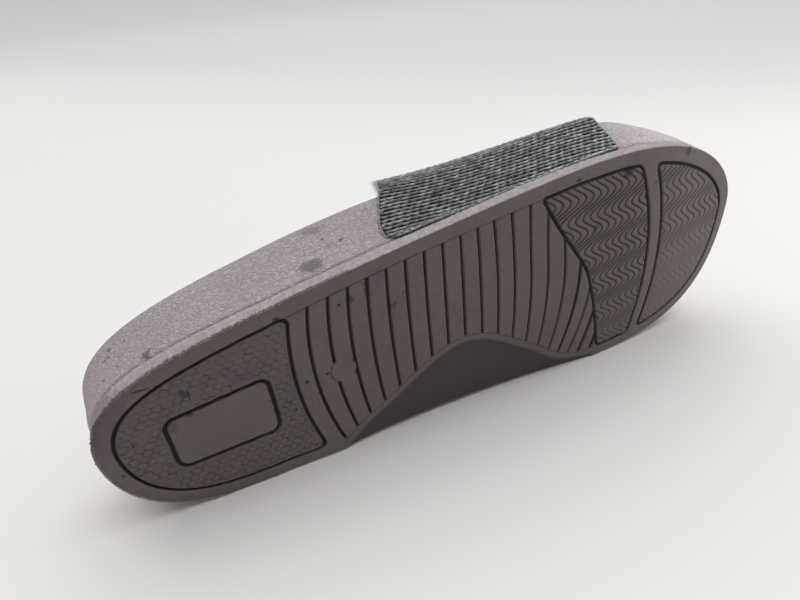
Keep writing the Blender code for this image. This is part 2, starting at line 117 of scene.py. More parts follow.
# Wavy grooves of each pad: place at the start, pitch, period, swing, drift and start across
BALL_WAVES = (162.18, 3.209, 13.87, 3.98, 0.316, -32.28)
TOE_WAVES = (160.50, 3.450, 14.07, 3.48, 0.168, -33.31)
BALL_WAVE_DEPTH = 0.46
TOE_WAVE_DEPTH = 0.36
TREAD_PITCH = 0.36
TREAD_COLUMNS = 270
SCALE_LENGTH = 2.9
SCALE_WIDTH = 2.05
SCALE_RELIEF = 0.74
# Seams between the scales painted as dark as a groove, painted shade: relief where they start, and how fast
# they darken
SEAM_START = 0.42
SEAM_SHADE_RATE = 1.6
# Painted shade in the tread's colour: how much under the arch and over the heel's scales
ARCH_SHADE = 1.5
SCALE_SHADE = 0.42

# Strap
STRAP_THICKNESS = 2.4
STRAP_RISE_REAR = 43
STRAP_RISE_FRONT = 26
STRAP_PROUD_REAR = 2.7
STRAP_PROUD_FRONT = 3.7
STRAP_DIP = 2.8
STRAP_PROUD_LOW = 0.25
STRAP_DROP = 0.7
STRAP_PROUD_MEDIAL = 0.3
STRAP_LEAN = 0.05
CORNER_REAR = 4.5
CORNER_FRONT = 2
BAND_UNDER = 0.75
HEM_THINNER = 0.9
HEM_BULGE = 0.7

OUTLINE = np.array([
    # share, lateral, medial
    (0.00, 1.20, 1.50),
    (0.05, 1.04, 1.35),
    (0.10, 0.94, 1.21),
    (0.20, 0.843, 0.99),
    (0.30, 0.826, 0.90),
    (0.40, 0.842, 0.88),
    (0.50, 0.882, 0.91),
    (0.60, 0.953, 0.985),
    (0.70, 1.045, 1.12),
    (0.80, 1.125, 1.31),
    (0.90, 1.165, 1.60),
    (0.95, 1.145, 1.80),
    (1.00, 1.08, 2.10),
])
HEIGHTS = np.array([
    # share of the length, rim, outsole, bed depth
    (0.00, 0.900, 1.40, 0.80),
    (0.10, 0.965, 1.25, 1.00),
    (0.25, 1.013, 1.07, 0.95),
    (0.40, 1.010, 1.00, 0.75),
    (0.50, 0.967, 0.95, 0.72),
    (0.60, 0.907, 0.93, 0.72),
    (0.70, 0.840, 0.93, 0.75),
    (0.80, 0.772, 0.93, 0.70),
    (0.90, 0.672, 0.96, 0.62),
    (1.00, 0.640, 1.00, 0.50),
])
RIM_SPREAD = np.array([
    # share of the length, how much further the lateral rim leans out
    (0.08, 0.0),
    (0.20, 0.7),
    (0.32, 1.2),
    (0.42, 1.0),
    (0.52, 0.3),
    (0.60, 0.0),
    (0.68, 0.0),
    (0.74, 1.5),
    (0.775, 2.0),
    (0.80, 1.3),
    (0.84, 0.0),
    (0.87, -0.6),
    (0.90, -0.8),
    (0.95, -0.3),
    (1.00, 0.0),
])
STRAP_EDGES = np.array([
    # path (0 lower edge, 1 rim, 2 crest), rear and front as shares of the length
    (0.0, 0.389, 0.741),
    (0.3, 0.394, 0.748),
    (0.7, 0.411, 0.755),
    (1.0, 0.426, 0.760),
    (1.3, 0.452, 0.759),
    (1.6, 0.478, 0.757),
    (2.0, 0.502, 0.754),
])
RIBS = np.array([
    # groove, place and sweep towards the toe at half the sole's width, as shares of the length
    (0, 0.263, 0.033),
    (4, 0.372, 0.009),
    (8, 0.480, -0.002),
    (12, 0.589, -0.024),
    (16, 0.701, -0.049),
    (18, 0.742, -0.036),
])
ARCH = np.array([
    # share of the length, share of half the sole width
    (0.282, 0.720),
    (0.305, 0.606),
    (0.351, 0.453),
    (0.398, 0.294),
    (0.440, 0.169),
    (0.478, 0.127),
    (0.517, 0.187),
    (0.560, 0.347),
    (0.603, 0.534),
    (0.643, 0.721),
    (0.680, 0.815),
    (0.715, 0.850),
])
PAD_REAR = np.array([
    # share of half the sole width, share of the length
    (-0.92, 0.598),
    (-0.57, 0.632),
    (-0.35, 0.657),
    (-0.08, 0.686),
    (0.20, 0.702),
    (0.46, 0.712),
    (0.90, 0.724),
])
HEEL_PAD_FRONT = (0.238, -0.092, 0.034)
PAD_FRONT = (0.811, 0.116, -0.039)
TOE_PAD_REAR = (0.836, 0.058, -0.039)


def smooth(table, column, at):
    """Cubic through a column of a table, with the slope at each row taken from its neighbours."""
    at = np.asarray(at, float)
    xs = table[:, 0]
    ys = table[:, column]
    slopes = np.gradient(ys, xs)
    i = np.clip(np.searchsorted(xs, at) - 1, 0, len(xs) - 2)
    step = xs[i + 1] - xs[i]
    u = np.clip((at - xs[i]) / step, 0, 1)
    return (ys[i] * (2 * u**3 - 3 * u**2 + 1) + slopes[i] * step * (u**3 - 2 * u**2 + u)
            + ys[i + 1] * (3 * u**2 - 2 * u**3) + slopes[i + 1] * step * (u**3 - u**2))


def ease(value, start=0.0, end=1.0):
    """Smooth step from 0 at start to 1 at end."""
    u = np.clip((value - start) / (end - start), 0, 1)
    return u * u * (3 - 2 * u)


def unit(vectors):
    """Each vector divided by its length."""
    return vectors / np.maximum(np.linalg.norm(vectors, axis=-1, keepdims=True), 1e-9)


def lay(points):
    """Shoe frame in millimetres to the row's frame in metres."""
    return (points @ LIE.T + LIE_SHIFT) * 0.001


def lattice(u, v, seed, size=256):
    """Value noise from -1 to 1: random values on a square lattice, eased between neighbours."""
    table = np.random.default_rng(seed).uniform(-1, 1, (size, size))
    i = np.floor(u).astype(int)
    j = np.floor(v).astype(int)
    a = ease(u - i)
    b = ease(v - j)
    near = table[i % size, j % size] * (1 - a) + table[(i + 1) % size, j % size] * a
    far = table[i % size, (j + 1) % size] * (1 - a) + table[(i + 1) % size, (j + 1) % size] * a
    return near * (1 - b) + far * b


def side_edge(x, side):
    """Sole's edge on the lateral (-1) or medial (1) side: fullness times a half circle on the length."""
    share = np.clip(np.asarray(x, float) / LENGTH, 0, 1)
    lateral = smooth(OUTLINE, 1, share)
    medial = smooth(OUTLINE, 2, share)
    fullness = np.where(np.asarray(side) < 0, lateral, medial)
    return -TOE_OFFSET * share + side * HALF_WIDTH * fullness * 2 * np.sqrt(share * (1 - share))


def spring(x):
    """Bottom of the sole: flat, then a parabola up to the toe."""
    u = np.clip((np.asarray(x, float) / LENGTH - SPRING_START) / (1 - SPRING_START), 0, None)
    return TOE_SPRING * u**2


def rim_height(x):
    """Height of the rim: its share at that place along the sole times the full height."""
    return RIM_HEIGHT * smooth(HEIGHTS, 1, np.asarray(x) / LENGTH)


def outsole_top(x):
    """Top of the outsole: the bottom of the sole and the thickness at that place."""
    return spring(x) + OUTSOLE_THICKNESS * smooth(HEIGHTS, 2, np.asarray(x) / LENGTH)


def even_stations(pitch, extra=()):
    """Shares of the length, heel to toe, a pitch apart along the lateral edge, and extra ones put in."""
    fine = (1 - np.cos(np.linspace(0, math.pi, 2001))) / 2
    edge = np.stack([fine * LENGTH, side_edge(fine * LENGTH, -1)], 1)
    run = np.concatenate([[0], np.cumsum(np.linalg.norm(np.diff(edge, axis=0), axis=1))])
    shares = np.interp(np.linspace(0, run[-1], int(run[-1] / pitch) + 1), run, fine)
    extra = np.asarray(extra, float)
    if len(extra):
        near = np.abs(shares[:, None] - extra[None]).min(1) < 0.45 * pitch / LENGTH
        near[[0, -1]] = False
        shares = np.sort(np.concatenate([shares[~near], extra]))
    return shares


def edge_normals(lateral, medial):
    """Outward normals of the two sides of an outline, heel to toe."""
    path = np.concatenate([lateral, medial[-2:0:-1]])
    along = unit(np.roll(path, -1, 0) - np.roll(path, 1, 0))
    out = np.stack([along[:, 1], -along[:, 0]], 1)
    count = len(lateral)
    return out[:count], np.concatenate([out[:1], out[:count - 2:-1]])


def make_mesh(name, points, faces, channels=None, weld=0.002):
    """Mesh object at the origin from points in the shoe frame, its poles welded, and values per channel."""
    mesh = bpy.data.meshes.new(name)
    mesh.from_pydata(lay(points.reshape(-1, 3)), [], faces.tolist())
    for channel, values in (channels or {}).items():
        layer = mesh.attributes.new(channel, "FLOAT", "POINT")
        layer.data.foreach_set("value", np.ascontiguousarray(values, np.float32).ravel())
    bm = bmesh.new()
    bm.from_mesh(mesh)
    bmesh.ops.remove_doubles(bm, verts=bm.verts, dist=weld * 0.001)
    bmesh.ops.dissolve_degenerate(bm, edges=bm.edges, dist=1e-7)
    bmesh.ops.recalc_face_normals(bm, faces=bm.faces)
    bm.to_mesh(mesh)
    bm.free()
    mesh.shade_smooth()
    thing = bpy.data.objects.new(name, mesh)
    bpy.context.scene.collection.objects.link(thing)
    return thing


def grid_faces(rows, columns, wrap_rows=False, wrap_columns=False):
    """Quads between neighbouring points of a grid, as an array of point numbers."""
    i, j = np.meshgrid(np.arange(rows if wrap_rows else rows - 1),
                       np.arange(columns if wrap_columns else columns - 1), indexing="ij")
    i = i.ravel()
    j = j.ravel()
    return np.stack([i * columns + j, i * columns + (j + 1) % columns,
                     (i + 1) % rows * columns + (j + 1) % columns, (i + 1) % rows * columns + j], 1)


def dress(piece, node, material):
    """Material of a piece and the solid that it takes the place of."""
    piece.data.materials.append(material)
    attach(piece, "root")
    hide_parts(node)


# Tread


def crossing(border, y):
    """A border across the sole, given as a table or as place, middle and sweep of a parabola."""
    across = y / HALF_WIDTH
    if len(border) > 3:
        return LENGTH * smooth(border, 1, across)
    place, middle, sweep = border
    return LENGTH * (place + sweep * (across - middle)**2)


def from_crossing(border, x, y):
    """Distance ahead of a border across the sole."""
    slope = crossing(border, y + 0.5) - crossing(border, y - 0.5)
    return (x - crossing(border, y)) / np.sqrt(1 + slope**2)


def rounded(u, w, radius):
    """Distance into the place where both distances are positive, with its corner rounded."""
    a = radius - u
    b = radius - w
    return radius - np.hypot(np.maximum(a, 0), np.maximum(b, 0)) - np.minimum(np.maximum(a, b), 0)


def trench(distance, width, depth):
    """Groove about a line: flat floor between two steep walls."""
    return depth * np.clip((width / 2 + GROOVE_WALL - np.abs(distance)) / (2 * GROOVE_WALL), 0, 1)


def edge_distance(x, y, pieces=260):
    """Distance in from the sole's outline, to the nearest of its straight pieces."""
    share = (1 - np.cos(np.linspace(0, math.pi, pieces // 2 + 1))) / 2
    lateral = np.stack([share * LENGTH, side_edge(share * LENGTH, -1)], 1)
    medial = np.stack([share * LENGTH, side_edge(share * LENGTH, 1)], 1)
    path = np.concatenate([lateral, medial[-2:0:-1]])
    nearest = np.full(x.shape, 1e6)
    for start, end in zip(path, np.roll(path, -1, 0)):
        dx, dy = end - start
        along = np.clip(((x - start[0]) * dx + (y - start[1]) * dy) / (dx * dx + dy * dy), 0, 1)
        nearest = np.minimum(nearest, (x - start[0] - along * dx)**2 + (y - start[1] - along * dy)**2)
    return np.sqrt(nearest)


def scales(x, y):
    """Fish scale relief, 0 on the scales to 1 in the seams: honeycomb cells, tipped and at random depths."""
    faint = 0.62 + 0.38 * lattice(x / 1.6, y / 1.6, 34)
    x = x + 0.42 * lattice(x / 1.9, y / 1.9, 31)
    y = y + 0.42 * lattice(x / 1.9, y / 1.9, 32)
    depths = np.random.default_rng(33).uniform(0, 1, (64, 64))
    best = np.full(x.shape, 9.0)
    second = np.full(x.shape, 9.0)
    tip = np.zeros(x.shape)
    for shift in (-1, 0, 1):
        j = np.floor(y / SCALE_WIDTH) + shift
        along = x / SCALE_LENGTH - 0.5 * (j % 2)
        for step in (-1, 0, 1):
            i = np.round(along) + step
            away = np.hypot((along - i) * SCALE_LENGTH, (y - (j + 0.5) * SCALE_WIDTH) * 1.18)
            depth = depths[i.astype(int) % 64, j.astype(int) % 64]
            second = np.minimum(second, np.maximum(best, away))
            slant = 0.5 * (along - i) - 0.5 * (y / SCALE_WIDTH - j - 0.5)
            tip = np.where(away < best, 0.3 * depth + 0.35 + 0.7 * slant, tip)
            best = np.minimum(best, away)
    return 0.5 * faint * (1 - ease(second - best, 0.0, 0.95)) + 0.5 * tip


def waves(x, y, place, pitch, period, swing, drift, start):
    """Depth mask of the wavy grooves: cosine lines a pitch apart that drift to the rear across the sole."""
    phase = 2 * math.pi * (y - start) / period
    line = x - place - swing * (np.cos(phase) - 1) + drift * (y - start)
    slope = swing * 2 * math.pi / period * np.sin(phase) + drift
    away = (line / pitch - np.round(line / pitch)) * pitch / np.sqrt(1 + slope**2)
    return ease(-np.abs(away), -0.44, -0.10)


RIB_NUMBERS = np.arange(19)
RIB_PLACES = smooth(RIBS, 1, RIB_NUMBERS)
RIB_MIDDLE = -TREAD_MARGIN / HALF_WIDTH
SWEEPS = np.array(
    # share of the length, middle as a share of half the width, sweep as a share of the length
    [(0, -0.09, 0), (0.10, -0.09, 0.012), HEEL_PAD_FRONT]
    + [(place, RIB_MIDDLE, sweep) for place, sweep in zip(RIB_PLACES, smooth(RIBS, 2, RIB_NUMBERS))]
    + [PAD_FRONT, TOE_PAD_REAR, (0.92, 0.05, -0.018), (1, 0.05, 0)])


def swept(share, y):
    """X of a line across the sole that bends as the ribs beside it do."""
    middle = np.interp(share, SWEEPS[:, 0], SWEEPS[:, 1])
    sweep = np.interp(share, SWEEPS[:, 0], SWEEPS[:, 2])
    straighten = np.interp(share, (0.54, 0.617, 0.66, 0.80), (0, 3.2, 3.0, 0))
    bent = LENGTH * (share + sweep * (y / HALF_WIDTH - middle)**2)
    return bent + straighten * np.clip((-15 - y) / 22, 0, 1)**2


def swept_end(share, side):
    """Point where such a line meets the sole's edge, found by going back and forth between the two."""
    x = share * LENGTH
    for _ in range(12):
        x = swept(share, side_edge(x, side))
    x = np.clip(x, 0, LENGTH)
    return np.stack([x, side_edge(x, side)], 1)


def border_distance(x, y, edge, centre):
    """Distance in from the border of the tread, whose width changes along the lateral side."""
    lean = np.clip((centre - y) / 12, -1, 1)
    roundness = 2 * np.sqrt(np.clip(x * (LENGTH - x), 0, None)) / LENGTH
    border = edge - TREAD_MARGIN - MARGIN_SHIFT * lean * roundness
    wider = sum(more * np.exp(-((x / LENGTH - place) / reach)**2) for place, reach, more in BORDER_WIDER)
    return border - wider * ease(centre - y, -8, 12)


def plate_distance(x, y):
    """Distance into the smooth plate of the heel pad: a rectangle with round corners and one slanted side."""
    front = HEEL_PAD_FRONT[0] * LENGTH - PLATE_SETBACK
    skew = PLATE_SKEW * np.clip((x - front + PLATE_LENGTH) / PLATE_LENGTH, 0, 1)
    middle = PLATE_MIDDLE + PLATE_SKEW / 2
    ends = np.minimum(front - x, x - front + PLATE_LENGTH)
    sides = np.minimum(y - middle + PLATE_WIDTH / 2 + skew, middle + PLATE_WIDTH / 2 - y)
    return rounded(ends, sides, PLATE_CORNER)


def arch_scoop(x, y):
    """Depth of the hollow under the arch, a power of a half sine along it, and distance past its edge."""
    along = (x / LENGTH - ARCH[0, 0]) / (ARCH[-1, 0] - ARCH[0, 0])
    arch_y = HALF_WIDTH * smooth(ARCH, 1, x / LENGTH)
    ahead = smooth(ARCH, 1, x / LENGTH + 0.002)
    behind = smooth(ARCH, 1, x / LENGTH - 0.002)
    slope = HALF_WIDTH * (ahead - behind) / (0.004 * LENGTH)
    past = np.where((along > 0) & (along < 1), (y - arch_y) / np.sqrt(1 + slope**2), -20.0)
    depth = SCOOP_DEPTH * np.sin(math.pi * np.clip(along, 0, 1))**SCOOP_FULLNESS
    inwards = np.clip((y - arch_y) / np.maximum(side_edge(x, 1) - arch_y, 1), 0, 1)
    lip, bank, rest = SCOOP_STEPS
    scoop = depth * (lip * ease(past, 0, 2.4) + bank * ease(past, 2.0, 4.4) + rest * inwards)
    return scoop * (past > 0), past


def tread_relief(share, x, y):
    """Depth of the tread below the sole's flat at each point, a mask of painted shade and dirt in its grooves
    and seams, and one of painted shade.
    """
    edge = edge_distance(x, y)
    centre = (side_edge(x, -1) + side_edge(x, 1)) / 2
    border = border_distance(x, y, edge, centre)
    past_rear = from_crossing(PAD_REAR, x, y)
    heel = rounded(border, -from_crossing(HEEL_PAD_FRONT, x, y), HEEL_CORNER)
    pad = rounded(border, np.minimum(past_rear, -from_crossing(PAD_FRONT, x, y)), BALL_CORNER)
    toe = rounded(border, from_crossing(TOE_PAD_REAR, x, y), TOE_CORNER)
    plate = plate_distance(x, y)
    scoop, past_arch = arch_scoop(x, y)
    shoulder = SHOULDER_DEPTH * np.exp(-np.abs(np.maximum(np.maximum(heel, pad), toe)) / SHOULDER_REACH)
    grooves = [trench(heel, HEEL_GROOVE, GROOVE_DEPTH), trench(pad, GROOVE_WIDTH, GROOVE_DEPTH),
               trench(toe, GROOVE_WIDTH, GROOVE_DEPTH), trench(plate, PLATE_GROOVE, GROOVE_DEPTH),
               trench(past_arch, *ARCH_LINE)]

    # Ribs, parted round the bare disc
    nearest = RIB_PLACES[np.abs(share[:, None] - RIB_PLACES[None]).argmin(1)]
    rib = trench((share - nearest) * LENGTH, GROOVE_WIDTH, GROOVE_DEPTH)[:, None]
    disc_x = swept(np.interp(DISC_RIB, RIB_NUMBERS, RIB_PLACES), 0.0)
    disc = np.hypot(x - disc_x, y)
    field = ease(border, 0.0, 0.5) * ease(-past_arch, 0.1, 0.5) * ease(-pad, 0.4, 0.8) * ease(-heel, 0.4, 0.8)
    field *= past_rear < 0
    grooves.append(rib * field * ease(disc, DISC_RADIUS, DISC_RADIUS + 0.4))
    beside = ease(np.abs(x - disc_x), 0.62 * DISC_RADIUS, 0.8 * DISC_RADIUS)
    grooves.append(trench(disc - DISC_RADIUS, *DISC_LINE) * beside)
    between = ease(-heel, 0.5, 1.5) * ease(-pad, 0.5, 1.5) * (past_rear < 0)
    grooves.append(trench(border, *BORDER_LINE) * between * (y < centre))

    # Waves of the two pads, worn shallow on the sides that bear most
    worn = 0.6 + 0.4 * ease(y, 30, 10)
    grooves.append(BALL_WAVE_DEPTH * worn * waves(x, y, *BALL_WAVES) * ease(pad, 0.3, 0.6))
    worn = 0.4 + 0.6 * ease(y, 14, -10)
    grooves.append(TOE_WAVE_DEPTH * worn * waves(x, y, *TOE_WAVES) * ease(toe, 0.3, 0.6))

    groove = np.max(grooves, axis=0)
    scale_field = ease(heel, 0.5, 1.1) * ease(-plate, 0.7, 1.3)
    scale = scales(x, y) * scale_field
    uneven = 0.035 * lattice(x / 5, y / 5, 3) + 0.02 * lattice(x / 1.6, y / 1.6, 4)
    total = scoop + np.maximum(groove, shoulder) + SCALE_RELIEF * scale + uneven * ease(edge, 0.3, 1.5)
    # Painted shade and dirt: the grooves and the seams between the scales, darkened in the colour
    seams = SEAM_SHADE_RATE * np.clip(scale - SEAM_START, 0, 1)
    mask = np.clip(np.maximum(groove / 0.5, seams), 0, 1)
    # Painted shade: darker in the hollow under the arch, and over the heel's scales, most in their seams
    shade = ARCH_SHADE * ease(past_arch, 1.8, 4.0) + SCALE_SHADE * scale_field * (0.5 + 0.5 * scale)
    return total, mask, shade


def edge_columns(ends, out, floor, room):
    """Points up the outsole's edge: a quarter round, then the wall, then in over the crease."""
    height = np.minimum(EDGE_ROUND, 0.6 * room)
    x = ends[:, 0]
    top = outsole_top(x) - CREASE
    columns = []
    worn = 0.3 + ease(x, 120, 70) * (ends[:, 1] < 10)
    ragged = lattice(x / 0.8, ends[:, 1] / 0.8, 7) + 0.7 * lattice(x / 2.3, ends[:, 1] / 2.3, 8)
    ragged *= 0.17 * worn
    for angle in np.radians((18, 36, 54, 72, 90)):
        wide = EDGE_ROUND * (math.sin(angle) - 1) + ragged * math.sin(2 * angle)
        high = floor + height * (1 - math.cos(angle)) + ragged * math.sin(2 * angle)
        columns.append(np.column_stack([ends + out * np.reshape(wide, (-1, 1)), high]))
    start = floor + height
    for share in (0.25, 0.5, 0.75, 1):
        high = start + (top - start) * share
        columns.append(np.column_stack([ends + out * LEAN_OUT * share, high]))
    columns.append(np.column_stack([ends + out * (LEAN_OUT - CREASE), top + CREASE]))
    return columns


def outsole_sections(pitch, columns, extra):
    """Closed section of the outsole at each station: across the tread, up one edge, over the top and down."""
    share = even_stations(pitch, extra)
    lateral = swept_end(share, -1)
    medial = swept_end(share, 1)
    lateral_out, medial_out = edge_normals(lateral, medial)
    left = lateral - EDGE_ROUND * lateral_out
    right = medial - EDGE_ROUND * medial_out
    v = np.linspace(0, 1, columns)[None]
    y = left[:, 1:] + (right[:, 1:] - left[:, 1:]) * v
    x = swept(share[:, None], y)
    x = x + (left[:, :1] - x[:, :1]) * (1 - v) + (right[:, :1] - x[:, -1:]) * v
    relief, mask, shade = tread_relief(share, x, y)
    tread = np.stack([x, y, spring(x) + relief], 2)
    strips = [tread]
    masks = [np.stack([mask, shade, 0 * mask], -1)]
    for ends, out, last in ((medial, medial_out, -1), (lateral, lateral_out, 0)):
        floor = tread[:, last, 2]
        strip = np.stack(edge_columns(ends, out, floor, outsole_top(ends[:, 0]) - CREASE - floor), 1)
        strips.append(strip if last else strip[:, ::-1])
        masks.append(np.broadcast_to((0.0, 0.0, 1.0), strip.shape))
    over = np.linspace(0, 1, 5)[1:-1, None, None]
    top = strips[1][:, -1] + (strips[2][:, 0] - strips[1][:, -1]) * over
    top[..., 2] = outsole_top(top[..., 0])
    strips.insert(2, top.transpose(1, 0, 2))
    masks.insert(2, np.broadcast_to((0.0, 0.0, 1.0), strips[2].shape))
    return share, np.concatenate(strips, 1), np.concatenate(masks, 1)


def make_outsole(material):
    """Four pieces of the outsole, parted in the floor of a groove."""
    half = GROOVE_WIDTH / 2
    offsets = np.array([-half - GROOVE_WALL, -half + GROOVE_WALL, 0, half - GROOVE_WALL,
                        half + GROOVE_WALL]) / LENGTH
    lines = np.concatenate([[HEEL_PAD_FRONT[0]], RIB_PLACES[:15], [PAD_FRONT[0], TOE_PAD_REAR[0]]])
    extra = (lines[:, None] + offsets[None]).ravel()
    share, sections, masks = outsole_sections(TREAD_PITCH, TREAD_COLUMNS, extra)
    columns = sections.shape[1]
    cuts = [0] + [int(np.abs(share - place).argmin())
                  for place in (HEEL_PAD_FRONT[0], RIB_PLACES[12], PAD_FRONT[0])] + [len(share) - 1]
    for name, first, last in zip(("tread_heel", "tread_waist", "tread_ball", "tread_toe"), cuts, cuts[1:]):
        points = sections[first:last + 1]
        faces = grid_faces(len(points), columns, wrap_columns=True)
        groove, shade, wall = np.moveaxis(masks[first:last + 1], -1, 0)
        piece = make_mesh(name, points, faces, {"groove": groove, "shade": shade, "wall": wall})
        close_ends(piece)
        dress(piece, "outsole", material)


def close_ends(piece):
    """Caps over the open ends of a piece."""
    bm = bmesh.new()
    bm.from_mesh(piece.data)
    rims = [edge for edge in bm.edges if edge.is_boundary]
    bmesh.ops.holes_fill(bm, edges=rims)
    for edge in rims:
        edge.smooth = False
    bmesh.ops.recalc_face_normals(bm, faces=bm.faces)
    bm.to_mesh(piece.data)
    bm.free()


# Moulded body


def strap_proud(x, side):
    """How far the strap stands out at the rim: more at the front, with a dip between."""
    first = STRAP_EDGES[3, 1] * LENGTH
    last = STRAP_EDGES[3, 2] * LENGTH
    share = np.clip((x - first) / (last - first), 0, 1.1)
    straight = STRAP_PROUD_REAR + (STRAP_PROUD_FRONT - STRAP_PROUD_REAR) * share
    return np.where(side < 0, straight - STRAP_DIP * 4 * share * (1 - share), STRAP_PROUD_MEDIAL)


def under_strap(x, path):
    """1 where the strap covers the wall, eased to 0 over its edges."""
    rear = LENGTH * smooth(STRAP_EDGES, 1, path) + corner(CORNER_REAR, path)
    front = LENGTH * smooth(STRAP_EDGES, 2, path) - corner(CORNER_FRONT, path)
    return ease(np.minimum(x - rear, front - x), -GAP - 0.1, -GAP + 0.1)


def recess_inset(x, path, side):
    """How far the wall stands back behind the strap: its thickness and a gap, less what stands proud."""
    stand = STRAP_PROUD_LOW + (1 - STRAP_PROUD_LOW) * np.clip(path, 0, 1)
    return under_strap(x, path) * np.maximum(STRAP_THICKNESS + GAP - strap_proud(x, side) * stand, 0)


def corner(radius, path):
    """Set-back of the strap's edge where its lower corner is round."""
    above = np.clip(path, 0, 1) * (RIM_HEIGHT - OUTSOLE_THICKNESS)
    return radius - np.sqrt(radius**2 - np.clip(radius - above, 0, None)**2)


def bed_height(x, across):
    """Footbed: a dish below the rim, with a swelling under the arch. Across is -1 lateral to 1 medial."""
    share = x / LENGTH
    dish = ease((1 - np.abs(across)) / BED_SLOPE)
    depth = BED_DEPTH * smooth(HEIGHTS, 3, share) * dish
    arch = ARCH_SUPPORT * np.exp(-((share - ARCH_PLACE) / ARCH_REACH)**2) * np.clip(across, 0, 1) * dish
    return rim_height(x) - depth + arch


def base_height(x):
    """Underside of the moulded body, a gap above the outsole."""
    return outsole_top(x) + GAP


def wall_height(part, x):
    """Height on the wall, from the crease at the outsole (part 0) to the foot of the rim's round (part 1)."""
    start = outsole_top(x) + GAP + CREASE
    return start + (rim_height(x) - RIM_ROUND - outsole_top(x) - GAP - CREASE) * part


def round_height(lift, x):
    """Height on the rim's round, as a lift from the rim."""
    return rim_height(x) + lift


def make_midsole(material):
    """Rings round the sole from its underside up the wall, over the rim and down to the footbed's middle."""
    ends = np.array([STRAP_EDGES[3, 1], STRAP_EDGES[3, 2]])
    steps = np.array([-0.9, -0.45, -0.3, -0.15, 0.3, 0.9]) / LENGTH
    extra = np.concatenate([ends[0] + steps, ends[1] - steps])
    share = even_stations(0.8, extra)
    x = share * LENGTH
    lateral = np.stack([x, side_edge(x, -1)], 1)
    medial = np.stack([x, side_edge(x, 1)], 1)
    lateral_out, medial_out = edge_normals(lateral, medial)
    ring_x = np.concatenate([x, x[-2:0:-1]])
    out = np.concatenate([lateral_out, medial_out[-2:0:-1]])
    side = np.concatenate([-np.ones(len(x)), np.ones(len(x) - 2)])
    spine_x = np.clip(ring_x, 0.13 * LENGTH, 0.85 * LENGTH)
    spine = np.stack([spine_x, (side_edge(spine_x, -1) + side_edge(spine_x, 1)) / 2], 1)

    def ring(outwards, height, path, inwards=0.0):
        """Points at a height, some way out of the sole's edge, drawn along to the edges of the recess."""
        moved = ring_x.copy()
        bends = (corner(CORNER_REAR, path), -corner(CORNER_FRONT, path))
        for column, place, bent in zip((1, 2), ends * LENGTH, bends):
            shift = LENGTH * smooth(STRAP_EDGES, column, path) - place
            moved += (shift + bent) * np.clip(1 - ((ring_x - place) / 22)**2, 0, 1)**2
        z = height(moved)
        reach = np.minimum(outwards, FLARE * z / rim_height(moved) - recess_inset(moved, path, side))
        spread = smooth(RIM_SPREAD, 1, moved / LENGTH) * (side < 0) * (1 - under_strap(moved, path))
        reach += spread * ease((z - outsole_top(moved)) / (rim_height(moved) - outsole_top(moved)))
        points = np.stack([moved, side_edge(moved, side)], 1) + out * reach[:, None]
        points = points + (spine - points) * inwards
        return np.column_stack([points, z])

    rings = [ring(LEAN_OUT - CREASE, base_height, 0.0, part) for part in (1, 0.5, 0)]
    wear = [0.0] * 3
    for part in np.linspace(0, 1, 25):
        points = ring(LEAN_OUT + (FLARE - LEAN_OUT) * part, partial(wall_height, part), 0.03 + 0.9 * part)
        soft = ease(part, 0.02, 0.12) * ease(part, 1.0, 0.9)
        swell = 0.12 * lattice(points[:, 0] / 9, points[:, 2] / 3.2 + 40 * side, 11)
        swell += 0.05 * lattice(points[:, 0] / 2.6, points[:, 2] / 1.7 + 40 * side, 12)
        points[:, :2] += out * (swell * soft)[:, None]
        rings.append(points)
        wear.append(0.0)
    for angle in np.radians((15, 30, 45, 60, 75, 90)):
        height = partial(round_height, RIM_ROUND * (math.sin(angle) - 1))
        rings.append(ring(FLARE - RIM_ROUND * (1 - math.cos(angle)), height, 0.94 + 0.06 * math.sin(angle)))
        wear.append(0.3)
    for part in (0.35, 0.7, 1):
        rings.append(ring(FLARE - RIM_ROUND - (RIM_WIDTH - RIM_ROUND) * part, rim_height, 1.0))
        wear.append(0.4)
    rim = ring(FLARE - RIM_WIDTH, rim_height, 1.0)
    for part in np.concatenate([np.linspace(0.03, 0.5, 16), np.linspace(0.54, 1, 11)]):
        points = rim.copy()
        points[:, :2] += (spine - rim[:, :2]) * part
        points[:, 2] = bed_height(points[:, 0], side * (1 - part))
        rings.append(points)
        wear.append(1.0)
    rings = np.stack(rings)
    faces = grid_faces(len(rings), rings.shape[1], wrap_columns=True)
    bed = np.broadcast_to(np.array(wear)[:, None], rings.shape[:2])
    piece = make_mesh("midsole_body", rings, faces, {"bed": bed})
    close_ends(piece)
    dress(piece, "midsole", material)


# Strap


def strap_point(x, path, side):
    """Outer face of the strap: up the wall from the outsole, then an arch over the footbed."""
    start = outsole_top(x) + GAP - STRAP_DROP
    rim = rim_height(x)
    first = STRAP_EDGES[3, 1] * LENGTH
    last = STRAP_EDGES[3, 2] * LENGTH
    share = np.clip((x - first) / (last - first), -0.2, 1.1)
    rise = STRAP_RISE_REAR + (STRAP_RISE_FRONT - STRAP_RISE_REAR) * share
    wall = np.clip(path, None, 1)
    height = start + wall * (rim - start)
    upwards = STRAP_PROUD_LOW + (1 - STRAP_PROUD_LOW) * np.clip(wall, 0, 1)
    lean = FLARE * height / rim
    low = side_edge(x, -1) - lean - strap_proud(x, -1) * upwards
    high = side_edge(x, 1) + lean + strap_proud(x, 1) * upwards
    angle = np.clip(path - 1, 0, 1) * math.pi / 2
    middle = (low + high) / 2
    half = (high - low) / 2
    y = middle + side * half * np.cos(angle) * (1 - STRAP_LEAN * np.sin(2 * angle)**2)
    return np.stack([x, y, height + rise * np.sin(angle)], -1)


